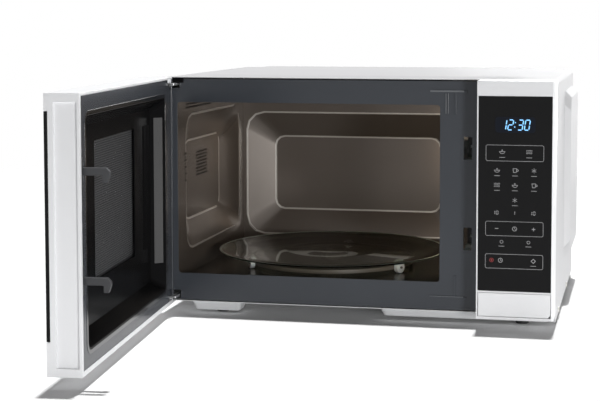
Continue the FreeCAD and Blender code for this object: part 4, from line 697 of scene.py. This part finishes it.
# %% Blocks
def block(name, low, high, round_mm=0.0):
    clear_selection()
    low, high = Vector(low), Vector(high)
    bpy.ops.mesh.primitive_cube_add(size=1, location=(low + high) / 2, scale=high - low)
    piece = settle(bpy.context.object, name)
    if round_mm:
        edit(piece, "EDGE")
        bpy.ops.mesh.bevel(offset=round_mm * MM, segments=2, affect="EDGES")
        done()
    return piece


def join(name, pieces):
    """Joins pieces into one object under one name."""
    clear_selection()
    for piece in pieces:
        piece.select_set(True)
    bpy.context.view_layer.objects.active = pieces[0]
    bpy.ops.object.join()
    return settle(bpy.context.object, name)


def copied(piece, matrix):
    """A copy with its own mesh, moved to another place."""
    twin = linked(piece.name, piece.data.copy())
    twin.data.transform(matrix)
    return twin


# %% [markdown]
# The control side carries a clock, printed outlines round some keys, and a small mark
# for each key. A mark lies a hair in front of the glass, drawn with three shapes: a
# straight stroke, a hoop and a rounded outline. They are laid out in millimetres from
# the glass's upper left corner.

# %% Flat marks on the glass
glass_low, glass_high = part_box("control_glass")
PRINT_Y = glass_low.y - 0.12 * MM
STROKE = 0.55
THIN_STROKE = 0.45


def on_glass(x, z):
    """A point on the glass, from millimetres right of and below its upper left corner."""
    return Vector((glass_low.x + x * MM, PRINT_Y, glass_high.z - z * MM))


def stand_up(name, centre):
    """Turns the active flat piece to face forward, and moves it onto the glass."""
    piece = bpy.context.object
    piece.rotation_euler = (math.pi / 2, 0, 0)
    piece.location = centre
    return settle(piece, name)


def flat(wide, tall):
    """A flat rectangle at the origin, its sizes in metres."""
    clear_selection()
    bpy.ops.mesh.primitive_plane_add(size=1)
    piece = bpy.context.object
    piece.scale = (wide, tall, 1)
    return piece


def stroke(x0, z0, x1, z1, width=STROKE):
    middle = on_glass((x0 + x1) / 2, (z0 + z1) / 2)
    length = math.hypot(x1 - x0, z1 - z0)
    piece = flat(length * MM, width * MM)
    piece.rotation_euler = (0, 0, math.atan2(z0 - z1, x1 - x0))
    bpy.ops.object.transform_apply(location=True, rotation=True, scale=True)
    return stand_up("stroke", middle)


def outlined(piece, width):
    """Keeps only a rim of a flat face."""
    edit(piece)
    bpy.ops.mesh.inset(thickness=width * MM)
    bpy.ops.mesh.delete(type="FACE")
    return done()


def hoop(x, z, radius, width=STROKE, sides=20, filled=False):
    clear_selection()
    bpy.ops.mesh.primitive_circle_add(vertices=sides, radius=radius * MM, fill_type="NGON")
    piece = stand_up("hoop", on_glass(x, z))
    return piece if filled else outlined(piece, width)


def frame_line(x0, z0, x1, z1):
    """A thin rounded outline round a row of keys."""
    flat((x1 - x0) * MM, (z1 - z0) * MM)
    piece = stand_up("frame_line", on_glass((x0 + x1) / 2, (z0 + z1) / 2))
    round_corners(piece, 2.2 * MM)
    done()
    return outlined(piece, 0.4)


# %% [markdown]
# The marks are plain signs that say what a key does without words: food in a dish, waves
# of heat, a frost star, a cup, a clock, a diamond for start, and plus and minus. Each is
# a function of its place, so the same sign can be printed on several keys.


# %% Key marks
def bowl(x, z):
    """Food in a dish: a half hoop closed by a stroke, with a lid's knob."""
    rim = [(3.1 * math.cos(a), 2.6 * math.sin(a)) for a in [math.pi * k / 6 for k in range(7)]]
    sides = [stroke(x + a[0], z + a[1], x + b[0], z + b[1]) for a, b in zip(rim, rim[1:])]
    return sides + [stroke(x - 3.6, z, x + 3.6, z), hoop(x, z - 1.6, 0.8)]


def waves(x, z):
    strokes = []
    for row in (-1.8, 0.0, 1.8):
        steps = [(x - 3.6 + 1.2 * k, z + row + (0.5 if k % 2 else -0.5)) for k in range(7)]
        strokes += [stroke(*a, *b, 0.4) for a, b in zip(steps, steps[1:])]
    return strokes


def star(x, z):
    """A frost mark: three strokes through one point."""
    rays = []
    for turn in (90, 30, 150):
        dx, dz = 3.0 * math.cos(math.radians(turn)), 3.0 * math.sin(math.radians(turn))
        rays.append(stroke(x - dx, z - dz, x + dx, z + dz, THIN_STROKE))
    return rays


def cup(x, z):
    return [
        stroke(x - 2.4, z - 2.2, x - 1.8, z + 2.4), stroke(x - 1.8, z + 2.4, x + 1.4, z + 2.4),
        stroke(x + 1.4, z + 2.4, x + 2.0, z - 2.2), stroke(x - 2.4, z - 2.2, x + 2.0, z - 2.2),
        hoop(x + 2.9, z, 1.3),
    ]


def clock(x, z):
    hands = [stroke(x, z, x, z - 1.9, THIN_STROKE), stroke(x, z, x + 1.5, z + 0.6, THIN_STROKE)]
    return [hoop(x, z, 2.8)] + hands


def diamond(x, z):
    return [hoop(x, z, 3.0, 0.6, sides=4)]


def minus(x, z):
    return [stroke(x - 2.0, z, x + 2.0, z, 0.7)]


def plus(x, z):
    return minus(x, z) + [stroke(x, z - 2.0, x, z + 2.0, 0.7)]


def caption(x, z):
    """A short rule under a key, where a name would be printed."""
    return [stroke(x - 3.4, z, x + 3.4, z, 0.5)]


def key(mark, x, z, drop):
    """A mark with its rule, which lies a little lower."""
    return mark(x, z) + caption(x, z + drop)


# %% [markdown]
# Numbers on the keys and the clock are seven-bar digits, each bar a stroke. The clock's
# lean a little, as such displays do.

# %% Digits
BARS = {
    "top": (0, 2, 1, 2), "middle": (0, 1, 1, 1), "bottom": (0, 0, 1, 0),
    "upper_left": (0, 1, 0, 2), "upper_right": (1, 1, 1, 2),
    "lower_left": (0, 0, 0, 1), "lower_right": (1, 0, 1, 1),
}
LIT = {
    "0": "top bottom upper_left upper_right lower_left lower_right",
    "1": "upper_right lower_right",
    "2": "top upper_right middle lower_left bottom",
    "3": "top upper_right middle lower_right bottom",
}


def digit(sign, x, z, wide, tall, lean, width):
    """One digit whose lower left corner is at x, z."""
    bars = []
    for bar in LIT[sign].split():
        x0, z0, x1, z1 = BARS[bar]
        ax, bx = (x + wide * a + lean * b for a, b in ((x0, z0), (x1, z1)))
        az, bz = (z - tall * b / 2 for b in (z0, z1))
        trim = 0.5 * width / math.hypot(bx - ax, bz - az)
        dx, dz = (bx - ax) * trim, (bz - az) * trim
        bars.append(stroke(ax + dx, az + dz, bx - dx, bz - dz, width))
    return bars


# %% [markdown]
# The keys stand in three columns. A table of rows gives each key its sign, with a short
# rule under it, and three rows have an outline round them.

# %% Control print
COLUMNS = (22.7, 44.2, 66.9)
INNER = (COLUMNS[0] + 6, COLUMNS[2] - 6)
OUTLINED_ROWS = ((58.5, 78.0), (150.7, 168.4), (190.3, 208.0))
START_Z = 198.0
STOP_X = 16.8
KEY_DIGIT = {"wide": 2.3, "tall": 4.2, "lean": 0.0, "width": 0.6}
marks = [frame_line(9.1, top, 78.5, bottom) for top, bottom in OUTLINED_ROWS]
for x, mark in zip(INNER, (bowl, waves)):
    marks += key(mark, x, 66.5, 7.0)
for z, row in ((89.0, (bowl, cup, star)), (106.8, (waves, bowl, cup))):
    for x, mark in zip(COLUMNS, row):
        marks += key(mark, x, z, 6.6)
marks += key(star, COLUMNS[1], 125.0, 6.4)
for x, number in zip(COLUMNS, ("10", "1", "10")):
    for place, sign in enumerate(number):
        marks += digit(sign, x - 2.3 * len(number) + 4.0 * place, 142.4, **KEY_DIGIT)
for x, mark in zip(COLUMNS, (minus, clock, plus)):
    marks += mark(x, 159.5)
for x in INNER:
    marks += [hoop(x, 175.5, 2.0, THIN_STROKE)] + caption(x, 180.8)
marks += clock(27.5, START_Z) + key(diamond, COLUMNS[2], START_Z, 6.0)
print_piece = join("control_print", marks)
dress(print_piece, grey_ink, "cabinet", "white_plastic")
stop_rings = [hoop(STOP_X, START_Z, 2.6, 0.7), hoop(STOP_X, START_Z, 1.2, filled=True)]
stop_mark = join("stop_mark", stop_rings)
dress(stop_mark, red_ink, "cabinet", "white_plastic")
print("control print:", len(print_piece.data.polygons), "faces")

# %% [markdown]
# The clock's digits and its colon glow, so they are their own piece with their own
# finish, and the haze is a rounded plate just behind them.

# %% Clock
CLOCK_DIGIT = {"wide": 5.4, "tall": 12.0, "lean": 0.9, "width": 1.25}
digits = []
for x, sign in ((27.0, "1"), (35.0, "2"), (46.8, "3"), (54.8, "0")):
    digits += digit(sign, x, 40.3, **CLOCK_DIGIT)
digits += [hoop(44.2, 31.5, 0.75, filled=True), hoop(43.4, 36.8, 0.75, filled=True)]
clock_digits = join("clock_digits", digits)
dress(clock_digits, lit_digits, "cabinet", "white_plastic")
flat(48 * MM, 19 * MM)
haze = stand_up("clock_haze", on_glass(44.2, 34.3) + Vector((0, 0.05 * MM, 0)))
round_corners(haze, 4 * MM)
done()
dress(haze, lit_haze, "cabinet", "white_plastic")
print("clock:", len(digits), "bars and dots")

# %% [markdown]
# The cover is held by pan head screws: a low disc drawn in towards its top, whose cross
# recess is cut by a Boolean modifier, one bar of the cross at a time. One is modelled,
# and the rest are copies turned to face the way their panel faces.


# %% Screw
def pan_screw(radius, height):
    """A pan head at the origin, standing up along +Z, with a cross recess."""
    profile = [(radius, 0), (radius, height * 0.35)]
    profile += [(radius * 0.9, height * 0.75), (radius * 0.6, height)]
    screw = potted("pan_screw", (0, 0, 0), profile, sides=24)
    corner = Vector((0.55 * radius, 0.13 * radius, 2 * height))
    for turn in (0, 90):
        cutter = block("cutter", (-corner.x, -corner.y, 0.3 * height), corner)
        cutter.data.transform(Matrix.Rotation(math.radians(turn), 4, "Z"))
        take(screw)
        cut = screw.modifiers.new("Recess", "BOOLEAN")
        cut.operation, cut.object, cut.solver = "DIFFERENCE", cutter, "EXACT"
        bpy.ops.object.modifier_apply(modifier="Recess")
        bpy.data.objects.remove(cutter)
    return smooth(screw, 30)


screw_low, screw_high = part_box("cover_screws")
SCREW_RADIUS, SCREW_HEIGHT = 4.0 * MM, 1.6 * MM
first_screw = pan_screw(SCREW_RADIUS, SCREW_HEIGHT)


# %% [markdown]
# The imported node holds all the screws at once. A copy of it is separated into its loose
# parts, and the middle of each part says where a screw goes and which panel it is in.


# %% Cover screws
def islands(node):
    """The middle of each separate solid in a node."""
    copy = linked("islands", frame["nodes"][node].data.copy())
    edit(copy, "VERT")
    bpy.ops.mesh.remove_doubles(threshold=DOUBLES)
    bpy.ops.mesh.separate(type="LOOSE")
    bpy.ops.object.mode_set(mode="OBJECT")
    middles = []
    for part in list(bpy.context.selected_objects):
        corners = [v.co for v in part.data.vertices]
        middles.append(sum(corners, Vector()) / len(corners))
        bpy.data.objects.remove(part)
    return middles


def screw_turn(middle):
    """How a screw at this place is turned, and where the panel under it is."""
    if middle.y > screw_high.y - 2 * MM:
        base = Vector((middle.x, screw_high.y - SCREW_HEIGHT, middle.z))
        return Matrix.Rotation(-math.pi / 2, 4, "X"), base
    side = 1 if middle.x > 0 else -1
    base = screw_high.x - SCREW_HEIGHT if side > 0 else screw_low.x + SCREW_HEIGHT
    return Matrix.Rotation(side * math.pi / 2, 4, "Y"), Vector((base, middle.y, middle.z))


screws = []
for middle in islands("cover_screws"):
    turn, base = screw_turn(middle)
    screws.append(copied(first_screw, Matrix.Translation(base) @ turn))
bpy.data.objects.remove(first_screw)
cover_screws = join("cover_screws_cut", screws)
dress(cover_screws, plated, "cabinet", "steel", "cover_screws")
print("screws:", len(screws))

# %% [markdown]
# The feet are moulded rubber: tapered, with a rounded shoulder and a hollow ring below.

# %% Feet
FOOT_PROFILE = (  # shares of the foot's radius and of its height
    (0.45, 0.25), (0.5, 0.02), (0.8, 0), (0.88, 0.08), (1, 0.6), (1, 0.94), (0.96, 1),
)
for node in ("foot_front_left", "foot_front_right", "foot_rear_left", "foot_rear_right"):
    low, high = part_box(node)
    radius, tall = (high.x - low.x) / 2, high.z - low.z
    centre = ((low.x + high.x) / 2, (low.y + high.y) / 2, low.z)
    profile = [(radius * out, tall * up) for out, up in FOOT_PROFILE]
    foot = potted("rubber_" + node, centre, profile, sides=32)
    smooth(foot, 40)
    dress(foot, rubber, BODY_OF[node], SLOT_OF[node], node)
    print(foot.name, round(tall / MM, 1), "mm tall")

# %% [markdown]
# Air leaves the oven through groups of small punched holes in its left wall. One hole is
# a shallow black cup on the wall, painted shade for the dark space seen through it, with
# few faces, since it is repeated hundreds of times.

# %% Cavity vent holes
left_low, left_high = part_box("cavity_left")
WALL_X = left_high.x
PRESSED_X = left_low.x + 0.8 * MM
HOLE_RADIUS = 1.6 * MM
HOLE_PITCH = 4.4


def punched_hole(radius):
    clear_selection()
    bpy.ops.mesh.primitive_circle_add(vertices=8, radius=radius, fill_type="NGON")
    piece = bpy.context.object
    piece.rotation_euler = (0, math.pi / 2, 0)
    settle(piece, "hole")
    edit(piece)
    extrude(0.15 * MM, 0, 0)
    face_outwards()
    return done()


def hole_group(wall_x, y0, y1, z0, z1):
    """Holes in staggered rows over a patch, in millimetres along the wall."""
    holes = []
    rows = int((z1 - z0) / HOLE_PITCH) + 1
    for row in range(rows):
        count = int((y1 - y0) / HOLE_PITCH) + (0 if row % 2 else 1)
        for k in range(count):
            y = y0 + HOLE_PITCH * (k + (0.5 if row % 2 else 0.0))
            holes.append(Matrix.Translation((wall_x, y * MM, (z0 + row * HOLE_PITCH) * MM)))
    return holes


hole = punched_hole(HOLE_RADIUS)
places = hole_group(PRESSED_X, -74, -22, 166, 198)
places += hole_group(WALL_X, -155.5, -147, 167, 203)
places += hole_group(WALL_X, -149, -37, 262, 266.5)
# painted shade: black cups stand for the dark space seen through the punched holes
vent_holes = join("cavity_vent_hole_shades", [copied(hole, place) for place in places])
bpy.data.objects.remove(hole)
dress(vent_holes, choke_plastic, "cabinet", "black_plastic")
print("vent holes:", len(places))

# %% [markdown]
# The door carries small pieces that are easiest to lay out as if it were shut and lying
# along its own axes: x runs from the hinge, y towards the oven. One matrix then swings
# each of them open.

# %% Door trim
recess_low, recess_high = Vector((0.0324, 0, 0.036)), Vector((0.3754, 0, 0.280))
PANEL_Y, RIM_Y = 9.4 * MM, 10.4 * MM  # the panel's and its rim's inner faces


def on_door(piece, name, finish, slot):
    settle(piece, name)
    piece.data.transform(DOOR)
    return dress(piece, finish, "door", slot)


def lip_ring(low, high, width, tall, radius):
    """A rounded bead round a rectangle, standing towards the oven."""
    ring = flat(high.x - low.x + 2 * width, high.z - low.z + 2 * width)
    ring.rotation_euler = (-math.pi / 2, 0, 0)
    ring.location = ((low.x + high.x) / 2, PANEL_Y, (low.z + high.z) / 2)
    settle(ring, "lip_ring")
    round_corners(ring, radius + width, segments=8)
    bpy.ops.mesh.select_all(action="SELECT")
    bpy.ops.mesh.inset(thickness=width)
    bpy.ops.mesh.delete(type="FACE")
    bpy.ops.mesh.select_all(action="SELECT")
    extrude(0, tall, 0)
    face_outwards()
    done()
    apply_modifier(
        ring, "BEVEL", width=tall * 0.85, segments=3,
        limit_method="ANGLE", angle_limit=math.radians(50),
    )
    return smooth(ring, 50)


lip = lip_ring(recess_low, recess_high, width=4.6 * MM, tall=0.35 * MM, radius=9 * MM)
on_door(lip, "choke_lip", lip_plastic, "black_plastic")
print("lip:", len(lip.data.polygons), "faces")

# %% [markdown]
# Five narrow strips finish the door: the fold along the panel's hinge side, the white
# frame's lower rim, the shiny band down the recess's sloping side and the roots of the
# two hooks. Each is a block that sinks a hair into the part that carries it.

# %% Door strips
SUNK = 0.1 * MM
fold = block("fold", (-3.5 * MM, PANEL_Y - SUNK, 0.0165), (-0.9 * MM, RIM_Y + SUNK, 0.3015), 0.3)
on_door(fold, "panel_hinge_fold", slate_enamel, "painted_steel")
rim = block("rim", (-0.5 * MM, PANEL_Y - SUNK, 0.0162), (0.3985, RIM_Y - SUNK, 0.0190), 0.4)
on_door(rim, "door_rim_low", white_plastic, "white_plastic")
band = block("band", (-6.0 * MM, -0.3 * MM, 0.072), (6.0 * MM, 0.3 * MM, 0.255), 0.25)
slope = Matrix.Rotation(math.radians(-53.8), 4, "Z")
band.data.transform(Matrix.Translation((40.4 * MM, 2.0 * MM, 0)) @ slope)
on_door(band, "choke_side_band", lip_plastic, "black_plastic")
roots = []
for foot_z in (0.0975, 0.2085):
    ends = (0.3888, PANEL_Y - SUNK, foot_z), (0.3950, RIM_Y - 2 * SUNK, foot_z + 0.030)
    roots.append(block("root", *ends, 0.3))
on_door(join("roots", roots), "latch_roots", latch_plastic, "black_plastic")
print("door strips:", 3 + len(roots))

# %% [markdown]
# The front plate's two stiffening ribs are pressed steel, and their flanks catch the
# light. Thin rounded strips along them, in a paler slate, are a painted highlight on that
# edge. A thin black sheet above the door is painted shade in the gap that the upper
# hinge turns in.

# %% Plate ribs
RIB_FRONT, RIB_BACK = -0.19165, -0.1912
RIB_STRIPS = {  # left, right, bottom and top, in millimetres
    "rib_bar_top": (94.5, 136.5, 288.2, 290.2), "rib_stem_left": (113.6, 114.6, 261.5, 286.5),
    "rib_stem_right": (116.6, 117.6, 261.5, 286.5), "rib_bar_low": (94.5, 136.5, 33.6, 34.4),
}
# painted highlight: the strips' paler slate draws the lit flanks of the ribs
for name, (x0, x1, z0, z1) in RIB_STRIPS.items():
    strip = block(name, (x0 * MM, RIB_FRONT, z0 * MM), (x1 * MM, RIB_BACK, z1 * MM), 0.15)
    dress(strip, rib_highlight_enamel, "cabinet", "painted_steel")
# painted shade: a thin black sheet stands for the shaded gap round the upper hinge
notch = block("hinge_gap_shade", (-0.2445, -0.1904, 0.2965), (-0.2235, -0.1899, 0.3025))
dress(notch, choke_plastic, "cabinet", "painted_steel")
print("rib strips:", len(RIB_STRIPS))

# %% [markdown]
# The room is a pale floor that fades out into white, so that only the shadow under the
# oven shows. The fade is a formula on the distance from the middle that feeds Alpha.

# %% Floor
FADE_END, FADE_WIDTH = 1.9, 0.9


def floor_finish():
    finish = Finish(
        "floor_paint", Roughness=0.9, Specular_IOR_Level=0.0, Emission_Strength=0.01
    )
    grain = finish.noise(60.0)
    finish.feed(Base_Color=finish.blend(grain, (0.94, 0.94, 0.94), (0.96, 0.96, 0.96)))
    distance = finish.add("ShaderNodeVectorMath", {"operation": "LENGTH"}, {0: finish.place})
    fade = (FADE_END - Signal(finish, distance.outputs["Value"])) / FADE_WIDTH
    held = finish.add("ShaderNodeClamp", None, {0: fade})
    seen = finish.add("ShaderNodeLightPath").outputs["Is Camera Ray"]
    finish.feed(Emission_Color=finish.blend(seen, (0, 0, 0), (1, 1, 1)))
    return finish.feed(Alpha=held.outputs[0])


clear_selection()
bpy.ops.mesh.primitive_circle_add(
    vertices=64, radius=2.0, fill_type="NGON", location=(0, 0, -0.2 * MM)
)
floor = settle(bpy.context.object, "floor")
floor.data.materials.append(floor_finish().material)
print("floor:", round(floor.dimensions.x, 2), "m across")

# %% [markdown]
# The world gives a little even light, but the camera, gloss and glass see it as plain
# white, so that metal and glass have something bright to reflect. Light Path tells which
# kind of ray asks, and a Mix Shader chooses between the two backgrounds.


# %% World
def white_room(ambient):
    world = bpy.data.worlds.new("white_room")
    world.use_nodes = True
    bpy.context.scene.world = world
    tree = world.node_tree
    room = tree.nodes["Background"]
    room.inputs["Color"].default_value = (1, 1, 1, 1)
    room.inputs["Strength"].default_value = ambient
    seen = tree.nodes.new("ShaderNodeBackground")
    seen.inputs["Color"].default_value = (1, 1, 1, 1)
    rays = tree.nodes.new("ShaderNodeLightPath")
    total = rays.outputs["Is Camera Ray"]
    for kind in ("Is Glossy Ray", "Is Transmission Ray"):
        either = tree.nodes.new("ShaderNodeMath")
        either.operation = "MAXIMUM"
        tree.links.new(total, either.inputs[0])
        tree.links.new(rays.outputs[kind], either.inputs[1])
        total = either.outputs[0]
    mix = tree.nodes.new("ShaderNodeMixShader")
    tree.links.new(total, mix.inputs[0])
    tree.links.new(room.outputs[0], mix.inputs[1])
    tree.links.new(seen.outputs[0], mix.inputs[2])
    tree.links.new(mix.outputs[0], tree.nodes["World Output"].inputs["Surface"])


white_room(ambient=0.04)

# %% [markdown]
# A high sun draws the crisp shadow under the oven. Small, low lamps at the front, the
# sides and the back lift the upright faces and leave that shadow dark, and a small warm
# one inside stands for the oven's own bulb.


# %% Lamps
def soft_lamp(name, place, target, size, power, colour=(1, 1, 1)):
    clear_selection()
    bpy.ops.object.light_add(type="AREA", location=place)
    lamp = bpy.context.object
    lamp.name = name
    lamp.data.shape = "DISK"
    lamp.data.size = size
    lamp.data.energy = power
    lamp.data.color = colour
    towards = Vector(target) - Vector(place)
    lamp.rotation_euler = towards.to_track_quat("-Z", "Y").to_euler()


MIDDLE = (0, 0, 0.15)
BULB = (1.0, 0.80, 0.60)
soft_lamp("front_lamp", (1.5, -2.6, 0.22), MIDDLE, size=0.5, power=36)
soft_lamp("right_lamp", (3.0, -0.3, 0.3), MIDDLE, size=0.5, power=17)
soft_lamp("left_lamp", (-3.0, 0.2, 0.3), MIDDLE, size=0.5, power=26)
soft_lamp("rear_lamp", (0.4, 3.0, 0.5), (0, 0, 0.2), size=1.4, power=36)
soft_lamp("oven_lamp", (0.100, -0.08, 0.17), (-0.08, 0.14, 0.15), 0.16, 0.30, colour=BULB)
clear_selection()
sun_tilt = math.radians(-5.7)
bpy.ops.object.light_add(type="SUN", location=(0, 0.3, 3.0), rotation=(sun_tilt, 0, 0))
high_lamp = bpy.context.object
high_lamp.name = "high_lamp"
high_lamp.data.energy = 3.05
high_lamp.data.angle = math.radians(1.5)
print("lamps:", len(bpy.data.lights))

# %% [markdown]
# The camera stands a little above the oven and to its right, far enough for a long lens.
# Two small shifts slide the picture within its frame without turning the camera.

# %% Camera
camera_data = bpy.data.cameras.new("camera")
camera_data.lens = 88.57
camera_data.sensor_width = 36
camera_data.sensor_fit = "HORIZONTAL"
camera_data.shift_x = -0.0667
camera_data.shift_y = -0.1342
camera = bpy.data.objects.new("camera", camera_data)
bpy.context.scene.collection.objects.link(camera)
camera.location = (0.3573, -1.99347, 0.38038)
DOWN, ROUND = 0.06972, 0.20591
camera.rotation_euler = (math.pi / 2 - DOWN, 0, ROUND)
bpy.context.scene.camera = camera
bpy.context.scene.view_settings.view_transform = "Standard"
print("lens:", round(camera_data.lens, 1), "mm")
